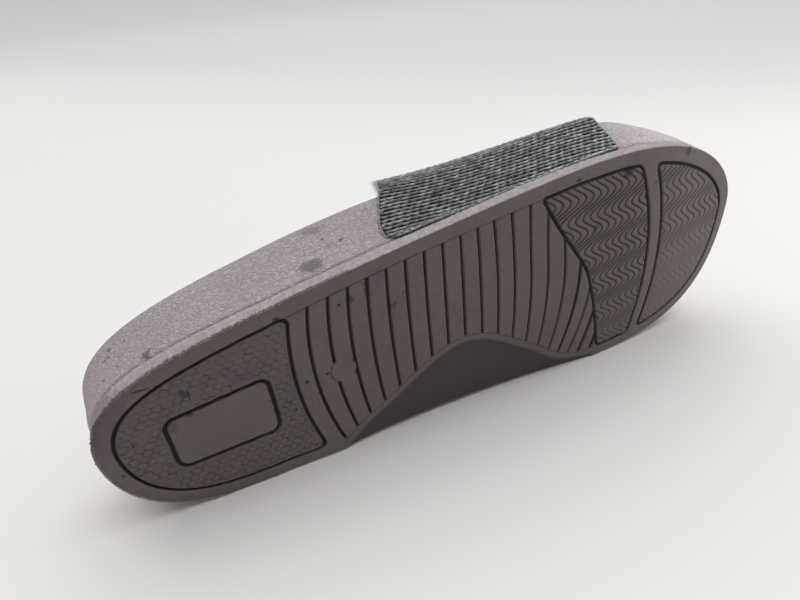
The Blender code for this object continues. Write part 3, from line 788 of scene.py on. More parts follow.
def strap_place(across, path, side, margin=0.0):
    """Point, outward normal, direction up the strap and mm per path, part way from rear to front edge."""
    def at(across, path, side):
        """Point of the outer face. Past the crest the path runs down again on the other side."""
        side = np.where(path > 2, -side, side)
        path = np.where(path > 2, 4 - path, path)
        rear = LENGTH * smooth(STRAP_EDGES, 1, path) + corner(CORNER_REAR, path) + margin
        front = LENGTH * smooth(STRAP_EDGES, 2, path) - corner(CORNER_FRONT, path) - margin
        return strap_point(rear + (front - rear) * across, path, side)
    step = 0.004
    point = at(across, path, side)
    along = at(across + step, path, side) - at(across - step, path, side)
    up = (at(across, path + step, side) - at(across, path - step, side)) * -side[..., None]
    normal = unit(np.cross(along, up))
    return point, normal, unit(up), np.linalg.norm(up, axis=-1) / (2 * step)


def strap_path(count):
    """Paths and sides from the lateral lower edge over the crest to the medial lower edge."""
    turn = np.linspace(0, 4, 2 * count + 1)
    return np.where(turn > 2, 4 - turn, turn), np.where(turn > 2, 1.0, -1.0)


def make_strap(material):
    """Padded band: a face, rounded edges and a lining, lofted from one lower edge to the other."""
    path, side = strap_path(90)
    path = path[:, None]
    side = side[:, None]
    edge = (STRAP_THICKNESS - HEM_THINNER - BAND_UNDER) / 2
    columns = np.linspace(0, 1, 61)[None]
    across, path, side = np.broadcast_arrays(columns, path, side)
    face, normal, _, _ = strap_place(across, path, side, edge * HEM_BULGE)
    outer = face - normal * BAND_UNDER
    thin = HEM_THINNER * (1 - ease(np.minimum(columns, 1 - columns), 0, 0.06))
    inner = face - normal * (STRAP_THICKNESS - thin)[..., None]
    bulge = []
    for column, sense in ((-1, 1), (0, -1)):
        out = unit(face[:, column] - face[:, column - sense])
        middle = face[:, column] - normal[:, column] * (BAND_UNDER + edge)
        for angle in np.radians((-60, -30, 0, 30, 60))[::-1] * sense:
            point = middle + out * edge * HEM_BULGE * math.cos(angle)
            point = point + normal[:, column] * edge * math.sin(angle)
            bulge.append(point[:, None])
    points = np.concatenate([outer] + bulge[:5] + [inner[:, ::-1]] + bulge[5:], 1)
    zone = np.concatenate([np.zeros(outer.shape[:2]), np.full((len(path), 5), 0.5), np.ones(inner.shape[:2]),
                           np.full((len(path), 5), 0.5)], 1)
    faces = grid_faces(len(points), points.shape[1], wrap_columns=True)
    piece = make_mesh("strap_band", points, faces, {"lining": zone})
    close_ends(piece)
    dress(piece, "strap", material)


ROW_PITCH = 1.95
STITCH = 2.6
YARN_SIDES = 6
YARN_WIDTH = 0.76
YARN_DEPTH = 0.33
BOW_SWING = 0.90
YARN_SINK = 0.48
YARN_LIFT = 0.30
LOWEST_PATH = 0.012
SHORTEST_ROW = 0.03
ROW_TAIL = 0.15
# Paler band of worn knit near the crest: how much paler, its path and its reach
HAZE = (0.24, 1.25, 0.13)


def knit_rows():
    """Paths of the rows at 61 places across: a set distance below the crest, then on along the lower edge."""
    across = np.linspace(0, 1, 61)
    path = np.linspace(2, -0.3, 600)
    places = np.meshgrid(path, across, indexing="ij")
    point = strap_place(places[1], places[0], -np.ones(places[0].shape))[0]
    run = np.linalg.norm(np.diff(point, axis=0), axis=2).cumsum(0)
    run = np.concatenate([0 * run[:1], run])
    whole = np.array([np.interp(0, -path, column) for column in run.T])
    below = (np.arange(int(whole.max() / ROW_PITCH)) + 0.5) * ROW_PITCH
    paths = np.stack([np.interp(below, column, path) for column in run.T], 1)
    ends = np.interp(-below - 0.45, -whole, across, left=0, right=1)
    keep = ends > SHORTEST_ROW
    return across, paths[keep], np.clip(ends[keep] + ROW_TAIL, 0, 1)


def make_knit(material):
    """Rows of scalloped ribbon: each stitch sags by |sin| of its turn, its upper edge raised and pale with a
    painted highlight, its lower edge with painted shade.
    """
    columns, rows, ends = knit_rows()
    count = len(rows)
    number = np.arange(count)[:, None]
    angle = np.arange(YARN_SIDES) * 2 * math.pi / YARN_SIDES
    for name, sign, steps in (("knit_lateral", -1.0, 245), ("knit_medial", 1.0, 175)):
        across = 0.004 + (ends[:, None] - 0.008) * np.linspace(0, 1, steps)
        path = np.stack([np.interp(place, columns, row) for place, row in zip(across, rows)])
        side = np.full(path.shape, sign)
        point, _, _, rate = strap_place(across, path, side)
        turn = point[..., 0] / STITCH + 0.5 * number + 0.3 * lattice(point[..., 0] / 6, number + 0.5, 20)
        bow_and_painted_light = np.abs(np.sin(math.pi * turn))**0.8
        tone = lattice(turn + 0.5, number * 3.7, 24)
        wobble = lattice(point[..., 0] / 1.7, number * 1.7 + 60 * sign, 21)
        sideways = BOW_SWING * (bow_and_painted_light - 0.55) * (1 + 0.35 * wobble) + 0.12 * tone
        path = np.clip(path - sideways / rate, LOWEST_PATH, 2)
        point, normal, _, _ = strap_place(across, path, side)
        out = -YARN_SINK + YARN_LIFT * bow_and_painted_light**1.5 + 0.08 * lattice(point[..., 0] / 1.1, number * 2.3, 22)
        line = point + normal * out[..., None]
        along = unit(np.gradient(line, axis=1))
        cross = unit(np.cross(normal, along)) * -sign
        lift = np.cross(along, cross) * -sign
        wide = YARN_WIDTH * (1.0 - 0.06 * bow_and_painted_light + 0.10 * wobble)[..., None, None]
        tube = (line[:, :, None] + cross[:, :, None] * wide * np.cos(angle)[:, None]
                + lift[:, :, None] * YARN_DEPTH * (np.sin(angle) + 0.45 * np.cos(angle))[:, None])
        index = grid_faces(steps, YARN_SIDES, wrap_columns=True)
        faces = (index[None] + (np.arange(count) * steps * YARN_SIDES)[:, None, None]).reshape(-1, 4)
        # Painted light and shade of each yarn: a painted highlight on its upper side, strongest where the
        # stitch sags most, painted shade on its lower edge, a paler band near the crest, and brighter towards
        # the front edge
        crest = np.clip(np.cos(angle), 0, 1) * (0.20 + 0.80 * bow_and_painted_light[..., None]**2)
        haze = HAZE[0] * np.exp(-((path - HAZE[1]) / HAZE[2])**2)[..., None]
        lit = (0.31 + 0.72 * crest - 0.3 * (np.cos(angle) < -0.8)) * (0.9 + 0.3 * tone[..., None])
        lit = (lit + haze) * (0.90 + 0.30 * across[..., None])
        piece = make_mesh(name, tube, faces, {"bow_and_painted_light": np.clip(lit, 0, 1)}, weld=0.0001)
        close_ends(piece)
        dress(piece, "strap", material)


FRINGE_COUNT = 3600
NAP_COUNT = 4600
FIBRE_RADIUS = 0.05
NAP_RADIUS = 1.7 * FIBRE_RADIUS
BURR_COUNT = 2400
BURR_RADIUS = 0.25
BURR_REACH_LATERAL = 82
BURR_REACH_MEDIAL = 48


def spikes(base, out, length, radius, rng):
    """Bent three-sided spikes: a ring at the base, a smaller one half way along and a point at the tip."""
    count = len(base)
    length = length[:, None]
    bend = base + (0.5 * out + 0.12 * unit(rng.normal(size=(count, 3)))) * length
    tip = base + (out + 0.35 * unit(rng.normal(size=(count, 3)))) * length
    one = unit(np.cross(out, unit(rng.normal(size=(count, 3)))))
    two = np.cross(out, one)
    angle = np.arange(3) * 2 * math.pi / 3
    ring = radius * (one[:, None] * np.cos(angle)[:, None] + two[:, None] * np.sin(angle)[:, None])
    points = np.concatenate([base[:, None] + ring, bend[:, None] + 0.7 * ring, tip[:, None]], 1)
    spike = np.array([(2, 1, 0), (0, 1, 4), (0, 4, 3), (1, 2, 5), (1, 5, 4), (2, 0, 3), (2, 3, 5),
                      (3, 4, 6), (4, 5, 6), (5, 3, 6)])
    return points, (spike[None] + 7 * np.arange(count)[:, None, None]).reshape(-1, 3)


def make_fuzz(material):
    """Frayed fibres off the strap's cut edges, and a short nap that thickens towards its crest."""
    rng = np.random.default_rng(31)
    count = FRINGE_COUNT + NAP_COUNT
    fringe = np.arange(count) < FRINGE_COUNT
    rear = rng.uniform(size=count) < 0.62
    tuft = rng.uniform(size=count) < 0.35
    path = np.where(fringe, np.where(tuft, rng.uniform(0.95, 1.5, count), rng.uniform(0.05, 2, count)),
                    np.where(tuft, rng.uniform(0.9, 2, count), rng.normal(1.27, 0.14, count)))
    side = np.where(rng.uniform(size=count) < np.where(fringe, 0.65, 0.8), -1.0, 1.0)
    across = np.where(fringe, np.where(rear, 0.0, 1.0), rng.uniform(size=count))
    base, normal, up, _ = strap_place(across, path, side)
    ahead = unit(strap_place(across + 0.01, path, side)[0] - base)
    edgewards = ahead * np.where(rear, -1.0, 1.0)[:, None]
    stray = rng.normal(size=(count, 3))
    out = np.where(fringe[:, None], edgewards + 0.35 * normal + 0.4 * stray, 0.35 * normal + 0.5 * stray)
    out = unit(out + 0.3 * up)
    long = np.where(rear, 1.3 + 1.1 * (tuft & (side < 0)), 0.8) * rng.uniform(size=count)**2
    length = np.where(fringe, 0.45 + long, 0.35 + 0.5 * rng.uniform(size=count))
    base = base + normal * np.where(fringe, rng.uniform(-1.7, -0.2, count), -0.3)[:, None]
    radius = np.where(fringe, FIBRE_RADIUS, NAP_RADIUS)[:, None, None]
    points, faces = spikes(base, out, length, radius, rng)
    piece = make_mesh("strap_fuzz", points, faces, {"bow_and_painted_light": np.full(count * 7, 1.0)}, weld=0.0001)
    dress(piece, "strap", material)


def make_burrs(material):
    """Torn foam along the heel's lower edge: stubby spikes that lean out and down from the outline."""
    rng = np.random.default_rng(41)
    fine = np.linspace(-1, 1, 801)
    reach = np.where(fine < 0, BURR_REACH_LATERAL, BURR_REACH_MEDIAL) * fine**2
    path = np.stack([reach, side_edge(reach, np.where(fine < 0, -1, 1))], 1)
    run = np.concatenate([[0], np.linalg.norm(np.diff(path, axis=0), axis=1).cumsum()])
    at = rng.uniform(0, run[-1], BURR_COUNT)
    along = np.stack([np.interp(at, run, np.gradient(path[:, axis])) for axis in (0, 1)], 1)
    edge = np.stack([np.interp(at, run, path[:, axis]) for axis in (0, 1)], 1)
    out = unit(np.column_stack([-along[:, 1], along[:, 0], 0 * at])) * [[-1, -1, 1]]
    lateral = ease(at, run[-1] * 0.61, run[-1] * 0.46)[:, None]
    base = np.column_stack([edge, rng.uniform(0, 0.45, BURR_COUNT)]) - 0.2 * out
    way = out * (0.95 - 1.3 * lateral) + np.array([0, 0, -1]) * (0.25 + 0.6 * lateral)
    way = unit(way + 0.32 * rng.normal(size=(BURR_COUNT, 3)))
    length = (0.5 + 0.8 * rng.uniform(size=BURR_COUNT)**2) * ease(at, 0, 25) * (0.65 + 0.35 * lateral[:, 0])
    points, faces = spikes(base, way, 0.15 + length, BURR_RADIUS, rng)
    full = np.ones(len(points) * 7)
    channels = {"wall": full, "groove": 0 * full, "shade": 0 * full}
    piece = make_mesh("heel_burrs", points, faces, channels, weld=0.0001)
    dress(piece, "outsole", material)


# Materials


def add(tree, kind, inputs=None, **settings):
    """New node in a tree, its inputs given as values or as sockets to link."""
    made = tree.nodes.new(kind)
    for key, value in settings.items():
        setattr(made, key, value)
    for key, value in (inputs or {}).items():
        if isinstance(value, bpy.types.NodeSocket):
            tree.links.new(value, made.inputs[key])
        else:
            made.inputs[key].default_value = value
    return made


def math_node(tree, operation, first, second=0.0, third=0.0):
    """Value of an operation on two values, or on three where it multiplies and adds."""
    return add(tree, "ShaderNodeMath", {0: first, 1: second, 2: third}, operation=operation).outputs[0]


def times(tree, first, second):
    """Product of two values."""
    return math_node(tree, "MULTIPLY", first, second)


def vector_node(tree, operation, inputs):
    """Vector from an operation on vectors."""
    return add(tree, "ShaderNodeVectorMath", inputs, operation=operation).outputs[0]


def noise_value(tree, vector, scale, detail, roughness=0.5):
    """Noise over a surface, from 0 to 1 about 0.5."""
    inputs = {"Vector": vector, "Scale": scale, "Detail": detail, "Roughness": roughness}
    return add(tree, "ShaderNodeTexNoise", inputs).outputs[0]


def mix_colour(tree, factor, first, second):
    """Colour on the way from the first, at factor 0, to the second, at factor 1."""
    return add(tree, "ShaderNodeMix", {0: factor, 6: first, 7: second}, data_type="RGBA").outputs[2]


def ramp(tree, value, start, end):
    """Value eased from 0 at start to 1 at end, whichever of the two is the larger."""
    inputs = {0: value, 1: start, 2: end}
    return add(tree, "ShaderNodeMapRange", inputs, interpolation_type="SMOOTHSTEP").outputs[0]


def new_group(name, inputs, outputs):
    """Node group with its named inputs, each a kind and a value, and its named outputs."""
    group = bpy.data.node_groups.new(name, "ShaderNodeTree")
    for socket, (kind, value) in inputs.items():
        made = group.interface.new_socket(socket, in_out="INPUT", socket_type=kind)
        if value is not None:
            made.default_value = value
    for socket, kind in outputs.items():
        group.interface.new_socket(socket, in_out="OUTPUT", socket_type=kind)
    return group, group.nodes.new("NodeGroupInput"), group.nodes.new("NodeGroupOutput")


def place_group(tree, group, inputs):
    """A group placed in a tree with its own values."""
    return add(tree, "ShaderNodeGroup", inputs, node_tree=group)


def mottle_group():
    """Cloudy colour of moulded foam with fine dark specks and pale ones."""
    group, given, made = new_group(
        "foam_mottle",
        {"Vector": ("NodeSocketVector", None),
         "Base": ("NodeSocketColor", (0.3, 0.27, 0.27, 1)),
         "Warm": ("NodeSocketColor", (0.3, 0.25, 0.25, 1)),
         "Speck": ("NodeSocketColor", (0.05, 0.04, 0.05, 1)),
         "Speck amount": ("NodeSocketFloat", 0.4)},
        {"Color": "NodeSocketColor"})
    vector = given.outputs["Vector"]
    cloud = ramp(group, noise_value(group, vector, 45, 5, 0.6), 0.35, 0.65)
    colour = mix_colour(group, cloud, given.outputs["Base"], given.outputs["Warm"])
    grain = math_node(group, "MULTIPLY_ADD", noise_value(group, vector, 900, 3), 0.5, 0.75)
    bright = vector_node(group, "SCALE", {0: colour, "Scale": grain})
    dots = add(group, "ShaderNodeTexVoronoi", {"Vector": vector, "Scale": 230.0}).outputs["Distance"]
    chance = ramp(group, noise_value(group, vector, 60, 2), 0.53, 0.66)
    dot = times(group, ramp(group, dots, 0.20, 0.06), chance)
    dot = times(group, dot, given.outputs["Speck amount"])
    group.links.new(mix_colour(group, dot, bright, given.outputs["Speck"]), made.inputs["Color"])
    return group


def grain_group():
    """Leather-like pebble: cells with soft seams, broken by noise."""
    group, given, made = new_group(
        "pebble_grain",
        {"Vector": ("NodeSocketVector", None),
         "Cells": ("NodeSocketFloat", 700.0),
         "Stretch": ("NodeSocketVector", (1, 1, 1))},
        {"Height": "NodeSocketFloat"})
    stretched = vector_node(group, "MULTIPLY", {0: given.outputs["Vector"], 1: given.outputs["Stretch"]})
    bend = add(group, "ShaderNodeTexNoise", {"Vector": stretched, "Scale": 260.0, "Detail": 2.0})
    shift = vector_node(group, "SUBTRACT", {0: bend.outputs["Color"], 1: (0.5, 0.5, 0.5)})
    shift = vector_node(group, "SCALE", {0: shift, "Scale": 0.0042})
    moved = vector_node(group, "ADD", {0: stretched, 1: shift})
    cells = add(group, "ShaderNodeTexVoronoi", {"Vector": moved, "Scale": given.outputs["Cells"]},
                feature="DISTANCE_TO_EDGE")
    seams = ramp(group, cells.outputs["Distance"], 0.0, 0.32)
    height = math_node(group, "MULTIPLY_ADD", noise_value(group, moved, 1800, 3), 0.35, seams)
    group.links.new(height, made.inputs["Height"])
    return group


def stain_group():
    """Ragged mark about a place: distance over radius, broken by a noise, eased to a mask."""
    group, given, made = new_group(
        "stain",
        {"Vector": ("NodeSocketVector", None),
         "Noise": ("NodeSocketFloat", 0.5),
         "Place": ("NodeSocketVector", (0, 0, 0)),
         "Radius": ("NodeSocketFloat", 0.003),
         "Squeeze": ("NodeSocketVector", (1, 1, 1)),
         "Ragged": ("NodeSocketFloat", 1.5),
         "Strength": ("NodeSocketFloat", 1.0),
         "Under": ("NodeSocketFloat", 0.0)},
        {"Mask": "NodeSocketFloat"})
    away = vector_node(group, "SUBTRACT", {0: given.outputs["Vector"], 1: given.outputs["Place"]})
    away = vector_node(group, "MULTIPLY", {0: away, 1: given.outputs["Squeeze"]})
    away = add(group, "ShaderNodeVectorMath", {0: away}, operation="LENGTH").outputs["Value"]
    share = math_node(group, "DIVIDE", away, given.outputs["Radius"])
    rough = times(group, math_node(group, "SUBTRACT", given.outputs["Noise"], 0.5), given.outputs["Ragged"])
    mask = ramp(group, math_node(group, "ADD", share, rough), 1.15, 0.55)
    mask = times(group, mask, given.outputs["Strength"])
    group.links.new(math_node(group, "MAXIMUM", mask, given.outputs["Under"]), made.inputs["Mask"])
    return group


# Marks: place in the row's frame (m), radius (mm), strength, squeeze along each axis, raggedness
PURPLE_MARKS = [
    ((-0.0369, -0.0350, 0.0651), 3.4, 0.50, (1, 1, 1), 2.0),
    ((-0.0388, -0.0339, 0.0614), 2.4, 0.55, (1.5, 1, 0.8), 2.0),
    ((-0.1203, -0.0335, 0.0439), 9.0, 0.45, (1, 1, 0.7), 1.5),
    ((-0.0807, -0.0335, 0.0443), 3.0, 0.60, (0.8, 1, 1.3), 2.0),
    ((-0.0660, -0.0335, 0.0300), 6.0, 0.20, (1, 1, 0.6), 1.5),
]
TREAD_MARKS = [
    ((-0.0451, -0.0347, 0.0602), 1.7, 0.55, (1, 1, 1), 2.5),
    ((-0.0398, -0.0345, 0.0632), 2.0, 0.70, (2.2, 1, 0.6), 2.5),
    ((-0.0487, -0.0346, 0.0596), 0.7, 0.90, (1, 1, 1), 1.5),
    ((-0.0312, -0.0340, 0.0535), 1.2, 0.60, (1, 1, 0.8), 2.5),
    ((-0.0550, -0.0326, 0.0356), 0.7, 0.95, (1, 1, 1), 1.0),
    ((-0.0620, -0.0326, 0.0350), 0.9, 0.90, (1, 1, 1), 1.5),
    ((-0.0666, -0.0318, 0.0253), 0.6, 0.95, (1, 1, 1), 1.0),
    ((-0.0680, -0.0348, 0.0609), 0.9, 0.90, (0.7, 1, 1), 1.5),
    ((-0.0975, -0.0337, 0.0453), 1.3, 0.80, (1.3, 1, 0.8), 4.5),
    ((-0.0960, -0.0337, 0.0440), 1.1, 0.85, (3.0, 1, 0.7), 2.0),
    ((-0.1076, -0.0342, 0.0506), 0.7, 0.90, (0.25, 1, 1.7), 0.8),
    ((-0.0973, -0.0330, 0.0372), 0.9, 0.70, (0.7, 1, 1), 1.5),
    ((-0.1142, -0.0327, 0.0322), 0.6, 0.80, (1, 1, 1), 1.5),
    ((-0.1195, -0.0319, 0.0228), 0.7, 0.70, (1, 1, 1), 1.5),
    ((-0.1030, -0.0328, 0.0340), 2.2, 0.30, (1, 1, 1), 2.0),
    ((0.0601, -0.0348, 0.0788), 2.4, 0.90, (0.9, 1, 1.1), 2.5),
    ((0.0750, -0.0331, 0.0715), 0.6, 0.90, (1, 1, 1), 1.0),
    ((0.0752, -0.0331, 0.0740), 0.5, 0.90, (1, 1, 1), 1.0),
    ((0.0745, -0.0331, 0.0690), 0.5, 0.80, (1, 1, 1), 1.0),
    ((0.0901, -0.0323, 0.0799), 2.0, 0.70, (1.6, 1, 0.8), 2.5),
    ((0.0376, -0.0358, 0.0804), 0.9, 0.80, (0.8, 1, 1), 1.5),
    ((0.0483, -0.0339, 0.0605), 1.3, 0.60, (1, 1, 0.7), 2.5),
]
WALL_MARKS = [
    ((-0.0529, -0.0259, 0.0705), 3.6, 0.62, (0.85, 1, 1), 1.2),
    ((-0.1036, -0.0269, 0.0567), 1.9, 0.70, (0.8, 1, 1), 5.0),
    ((-0.1153, -0.0150, 0.0526), 1.3, 0.55, (1, 1, 1), 4.0),
    ((-0.1140, -0.0125, 0.0539), 0.9, 0.55, (1, 1, 1), 2.0),
    ((-0.0411, -0.0201, 0.0739), 1.1, 0.60, (0.8, 1, 1), 4.5),
    ((-0.0470, -0.0100, 0.0742), 2.8, 0.40, (0.7, 1, 1), 3.0),
    ((-0.0448, -0.0208, 0.0730), 1.6, 0.30, (1, 1, 1), 4.5),
    ((-0.0290, -0.0120, 0.0790), 1.3, 0.45, (1, 1, 1), 4.5),
]


def stains(tree, group, place, noise, marks):
    """Mask of all the marks of a list, each laid over the ones before it."""
    mask = 0.0
    for where, radius, strength, squeeze, ragged in marks:
        mask = place_group(tree, group, {
            "Vector": place, "Noise": noise, "Place": where, "Radius": 0.001 * radius, "Squeeze": squeeze,
            "Ragged": ragged, "Strength": strength, "Under": mask}).outputs["Mask"]
    return mask


# Colours of the foam: two tones of the mottle, and what lies over them
TREAD_FOAM = ((0.125, 0.1035, 0.0995, 1), (0.116, 0.094, 0.092, 1))
EDGE_FOAM = ((0.40, 0.36, 0.365, 1), (0.385, 0.335, 0.345, 1))
WALL_FOAM = ((0.42, 0.372, 0.385, 1), (0.405, 0.345, 0.365, 1))
# Painted light of the tread towards the toe
TREAD_TOE_LIGHT = (0.27, 0.24, 0.23, 1)
# Painted shade of the tread, under the arch and over the heel's scales
PAINTED_TREAD_SHADE = (0.032, 0.021, 0.025, 1)
# Near black of the grooves and the scale seams: dirt and painted shade
GROOVE_SHADE_AND_DIRT = (0.012, 0.006, 0.006, 1)
EDGE_SCUFF = (0.17, 0.145, 0.15, 1)
# Painted light of the wall towards the toe
WALL_TOE_LIGHT = (0.56, 0.515, 0.52, 1)
WORN_BED = (0.16, 0.138, 0.145, 1)
# Painted shade in the seams of the wall's grain
GRAIN_SEAM_SHADE = (0.14, 0.115, 0.13, 1)
DARK_MARK = (0.018, 0.013, 0.022, 1)
PURPLE_MARK = (0.088, 0.062, 0.088, 1)
WALL_MARK = (0.05, 0.045, 0.06, 1)
# Colours of the cloth: the dark and the pale thread of each weave; the knit's dark is painted shade
# Face of the band: dark cloth, near black as painted shade in the gaps of the knit
BAND_FACE_AND_SHADE = ((0.004, 0.004, 0.006, 1), (0.035, 0.035, 0.045, 1))
BAND_HEM = ((0.18, 0.18, 0.19, 1), (0.75, 0.76, 0.78, 1))
BAND_LINING = ((0.03, 0.03, 0.034, 1), (0.07, 0.07, 0.078, 1))
# Knit: painted shade, then the pale yarn
KNIT_SHADE_AND_YARN = ((0.008, 0.008, 0.011, 1), (0.66, 0.66, 0.69, 1))
FRAY_YARN = ((0.4, 0.4, 0.41, 1), (0.88, 0.88, 0.89, 1))


def new_material(name):
    """Material with its tree, its shader and the place on the object."""
    material = bpy.data.materials.new(name)
    material.use_nodes = True
    tree = material.node_tree
    place = add(tree, "ShaderNodeTexCoord").outputs["Object"]
    return material, tree, tree.nodes["Principled BSDF"], place


def attribute(tree, name):
    """Value of one of the mesh's channels."""
    return add(tree, "ShaderNodeAttribute", attribute_name=name).outputs["Fac"]


def foam_colour(tree, groups, place, tones, specks):
    """Mottle between two tones of foam, with more or fewer specks."""
    inputs = {"Vector": place, "Base": tones[0], "Warm": tones[1], "Speck amount": specks}
    return place_group(tree, groups["mottle"], inputs).outputs["Color"]


def grain_height(tree, groups, place, cells, stretch=(1, 1, 1)):
    """Height of the pebble grain, with so many cells to the metre."""
    inputs = {"Vector": place, "Cells": cells, "Stretch": stretch}
    return place_group(tree, groups["grain"], inputs).outputs["Height"]


def finish(tree, shader, colour, height, strength, distance, roughness):
    """Colour, relief and roughness of a surface, put on its shader."""
    tree.links.new(colour, shader.inputs["Base Color"])
    bump = add(tree, "ShaderNodeBump", {"Height": height, "Strength": strength, "Distance": distance})
    tree.links.new(bump.outputs[0], shader.inputs["Normal"])
    shader.inputs["Roughness"].default_value = roughness


def tread_material(groups):
    """Foam of the tread: dark, paler at the toe with painted light, pale and scuffed on the edge, painted
    shade and dirt in the grooves, painted shade under the arch and on the heel's scales.
    """
    material, tree, shader, place = new_material("tread_foam")
    noise = noise_value(tree, place, 850, 4)
    forward = add(tree, "ShaderNodeSeparateXYZ", {0: place}).outputs[0]
    colour = foam_colour(tree, groups, place, TREAD_FOAM, 0.6)
    # Painted light: the tread paler towards the toe, where more light falls
    colour = mix_colour(tree, times(tree, ramp(tree, forward, 0.055, 0.10), 0.2), colour, TREAD_TOE_LIGHT)
    # Painted shade under the arch and over the heel's scales
    colour = mix_colour(tree, times(tree, attribute(tree, "shade"), 0.5), colour, PAINTED_TREAD_SHADE)
    edge = foam_colour(tree, groups, place, EDGE_FOAM, 0.7)
    rough = ramp(tree, noise_value(tree, place, 620, 5, 0.7), 0.62, 0.36)
    edge = mix_colour(tree, times(tree, rough, 0.45), edge, EDGE_SCUFF)
    colour = mix_colour(tree, attribute(tree, "wall"), colour, edge)
    colour = mix_colour(tree, stains(tree, groups["stain"], place, noise, PURPLE_MARKS), colour, PURPLE_MARK)
    colour = mix_colour(tree, stains(tree, groups["stain"], place, noise, TREAD_MARKS), colour, DARK_MARK)
    # Painted shade and dirt: grooves and scale seams darkened near black
    colour = mix_colour(tree, times(tree, attribute(tree, "groove"), 0.94), colour, GROOVE_SHADE_AND_DIRT)
    smooth_edge = times(tree, attribute(tree, "wall"), -2.0)
    grain = grain_height(tree, groups, place, 1500.0)
    height = math_node(tree, "MULTIPLY_ADD", rough, smooth_edge, grain)
    finish(tree, shader, colour, height, 0.4, 0.0002, 0.62)
    shader.inputs["Specular IOR Level"].default_value = 0.35
    return material


def wall_material(groups):
    """Grained foam of the moulded body: painted shade in the seams of its grain, calmer and paler at the toe
    with painted light, the footbed worn.
    """
    material, tree, shader, place = new_material("grained_foam")
    noise = noise_value(tree, place, 850, 4)
    grain = grain_height(tree, groups, place, 700.0, (0.62, 1.25, 1.25))
    small = grain_height(tree, groups, place, 1500.0)
    forward = add(tree, "ShaderNodeSeparateXYZ", {0: place}).outputs[0]
    # Painted light: the wall paler towards the toe, where more light falls
    pale = times(tree, ramp(tree, forward, 0.05, 0.085), 0.9)
    colour = mix_colour(tree, pale, foam_colour(tree, groups, place, WALL_FOAM, 0.75), WALL_TOE_LIGHT)
    colour = mix_colour(tree, times(tree, attribute(tree, "bed"), 0.35), colour, WORN_BED)
    # Painted shade in the seams of the grain
    colour = mix_colour(tree, times(tree, ramp(tree, grain, 0.75, 0.15), 0.4), colour, GRAIN_SEAM_SHADE)
    colour = mix_colour(tree, stains(tree, groups["stain"], place, noise, WALL_MARKS), colour, WALL_MARK)
    height = math_node(tree, "MULTIPLY_ADD", small, 0.3, grain)
    height = math_node(tree, "ADD", height, times(tree, noise_value(tree, place, 210, 3), 1.6))
    calm = math_node(tree, "SUBTRACT", 0.6, times(tree, pale, 0.4))
    finish(tree, shader, colour, height, calm, 0.0005, 0.62)
    shader.inputs["Specular IOR Level"].default_value = 0.35
    return material


def band_material():
    """Cloth of the band: near black under the knit, dark cloth and painted shade of the gaps between the
    rows, pale where the hem is cut, plain dark grey on the lining.
    """
    material, tree, shader, place = new_material("band_cloth")
    lining = attribute(tree, "lining")
    weave = noise_value(tree, place, 1500, 3)
    # The face's near black: dark cloth and painted shade of the knit's gaps
    face, hem, inner = [mix_colour(tree, weave, *threads) for threads in (BAND_FACE_AND_SHADE, BAND_HEM, BAND_LINING)]
    colour = mix_colour(tree, ramp(tree, lining, 0.2, 0.5), face, hem)
    colour = mix_colour(tree, ramp(tree, lining, 0.6, 0.9), colour, inner)
    finish(tree, shader, colour, weave, 0.6, 0.0003, 0.9)
    return material


def yarn_material(name, threads):
    """Yarn: dark between its fibres, painted shade towards a loop's foot and along its lower edge, a painted
    highlight along its raised upper edge.
    """
    material, tree, shader, place = new_material(name)
    dark, bright = threads
    fibre = noise_value(tree, place, 2200, 3, 0.7)
    twist = noise_value(tree, place, 500, 2)
    dull = [0.6 * part for part in bright[:3]] + [1]
    yarn = mix_colour(tree, ramp(tree, fibre, 0.3, 0.7), dull, bright)
    # Painted light and shade from the mesh's channel, broken by the twist noise
    lit = times(tree, ramp(tree, attribute(tree, "bow_and_painted_light"), 0.0, 0.95), ramp(tree, twist, 0.1, 0.6))
    finish(tree, shader, mix_colour(tree, lit, dark, yarn), fibre, 0.8, 0.0003, 0.85)
    return material


# Room


FLOOR_RADIUS = 3.0
FLOOR_RISE = 4.0
FLOOR_TURNS = 96
# Sheet: two close tones of its cloud, and a greyer one far off beyond the toe, painted shade where less light
# reaches
FLOOR_TONES = ((0.735, 0.725, 0.71, 1), (0.755, 0.745, 0.735, 1))
# Painted shade of the sheet far off
FLOOR_FAR_SHADE = (0.625, 0.62, 0.612, 1)
# Lights: name, place, aim, side of the square and power
LIGHTS = [
    ("overhead", (0.3, 0.9, 3.6), (0.1, 0.25, 0), 6.5, 215),
    ("toe_side", (0.75, -0.15, 0.42), (0.1, 0, 0.04), 0.35, 0.9),
    ("toe_low", (0.6, -0.25, 0.15), (0.1, 0, 0.04), 0.2, 0.36),
]
SKY = (0.99, 0.975, 0.96, 1)
SKY_STRENGTH = 0.325


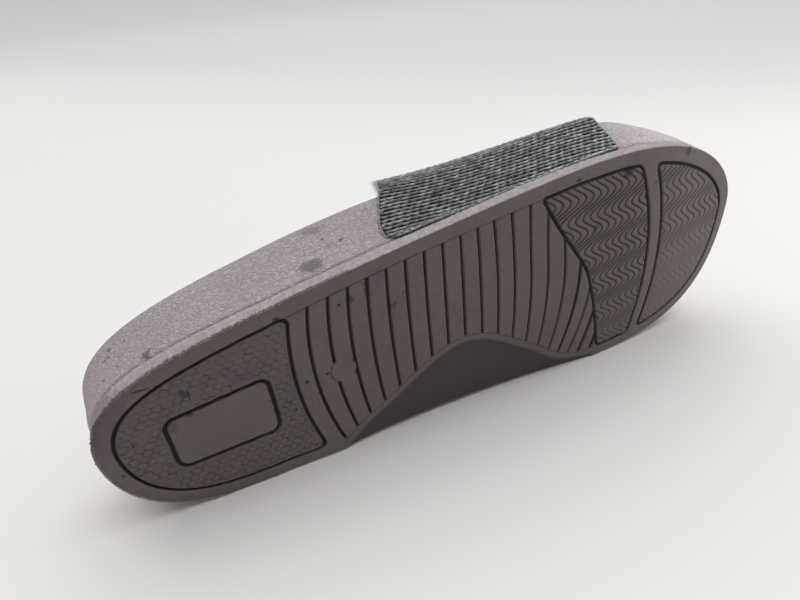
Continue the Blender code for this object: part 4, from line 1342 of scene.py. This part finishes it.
def make_floor():
    """Pale sheet: a flat disc whose far edge turns up through a quarter circle, so no horizon shows."""
    angle = np.linspace(0, math.pi / 2, 17)
    reach = np.concatenate([[0, 1, 2.5], FLOOR_RADIUS + FLOOR_RISE * np.sin(angle)])
    height = np.concatenate([[0, 0, 0], FLOOR_RISE * (1 - np.cos(angle))])
    turn = np.arange(FLOOR_TURNS) * 2 * math.pi / FLOOR_TURNS
    points = np.stack([reach[:, None] * np.cos(turn), reach[:, None] * np.sin(turn),
                       height[:, None] + 0 * turn], -1)
    mesh = bpy.data.meshes.new("floor")
    faces = grid_faces(len(reach), FLOOR_TURNS, wrap_columns=True)
    mesh.from_pydata(points.reshape(-1, 3), [], faces.tolist())
    mesh.shade_smooth()
    floor = bpy.data.objects.new("floor", mesh)
    bpy.context.scene.collection.objects.link(floor)
    material, tree, shader, place = new_material("pale_floor")
    colour = mix_colour(tree, noise_value(tree, place, 3, 1), *FLOOR_TONES)
    away = add(tree, "ShaderNodeVectorMath", {0: place, 1: (1.6, 1, 0)}, operation="DOT_PRODUCT")
    # Painted shade: the sheet greyer far off, as the light falls off with distance
    colour = mix_colour(tree, ramp(tree, away.outputs["Value"], 0.35, 1.6), colour, FLOOR_FAR_SHADE)
    tree.links.new(colour, shader.inputs["Base Color"])
    shader.inputs["Roughness"].default_value = 0.7
    floor.data.materials.append(material)


def area_light(name, place, aim, size, power):
    """Square light at a place, turned to its aim."""
    data = bpy.data.lights.new(name, "AREA")
    data.shape = "SQUARE"
    data.size = size
    data.energy = power
    light = bpy.data.objects.new(name, data)
    light.location = place
    light.rotation_euler = (Vector(place) - Vector(aim)).to_track_quat("Z", "Y").to_euler()
    bpy.context.scene.collection.objects.link(light)


def make_lights():
    """Even sky, a broad light overhead and two small ones at the toe."""
    world = bpy.data.worlds.new("studio")
    world.use_nodes = True
    sky = world.node_tree.nodes["Background"]
    sky.inputs["Color"].default_value = SKY
    sky.inputs["Strength"].default_value = SKY_STRENGTH
    bpy.context.scene.world = world
    for light in LIGHTS:
        area_light(*light)


def make_camera():
    """Camera at the photograph's place, turned to its aim and then rolled."""
    data = bpy.data.cameras.new("camera")
    data.sensor_width = SENSOR_WIDTH
    data.lens = CAMERA_LENS
    data.clip_start = 0.01
    camera = bpy.data.objects.new("camera", data)
    bpy.context.scene.collection.objects.link(camera)
    facing = (CAMERA_PLACE - CAMERA_AIM).to_track_quat("Z", "Y").to_matrix()
    turn = facing @ Matrix.Rotation(CAMERA_ROLL, 3, "Z")
    camera.matrix_world = Matrix.Translation(CAMERA_PLACE) @ turn.to_4x4()
    bpy.context.scene.camera = camera


def main():
    """The room, then the shoe from the tread up."""
    bpy.context.scene.view_settings.view_transform = "Standard"
    make_camera()
    make_floor()
    make_lights()
    groups = {"mottle": mottle_group(), "grain": grain_group(), "stain": stain_group()}
    tread = tread_material(groups)
    make_outsole(tread)
    make_burrs(tread)
    make_midsole(wall_material(groups))
    make_strap(band_material())
    make_knit(yarn_material("knit_yarn", KNIT_SHADE_AND_YARN))
    make_fuzz(yarn_material("fray", FRAY_YARN))


main()
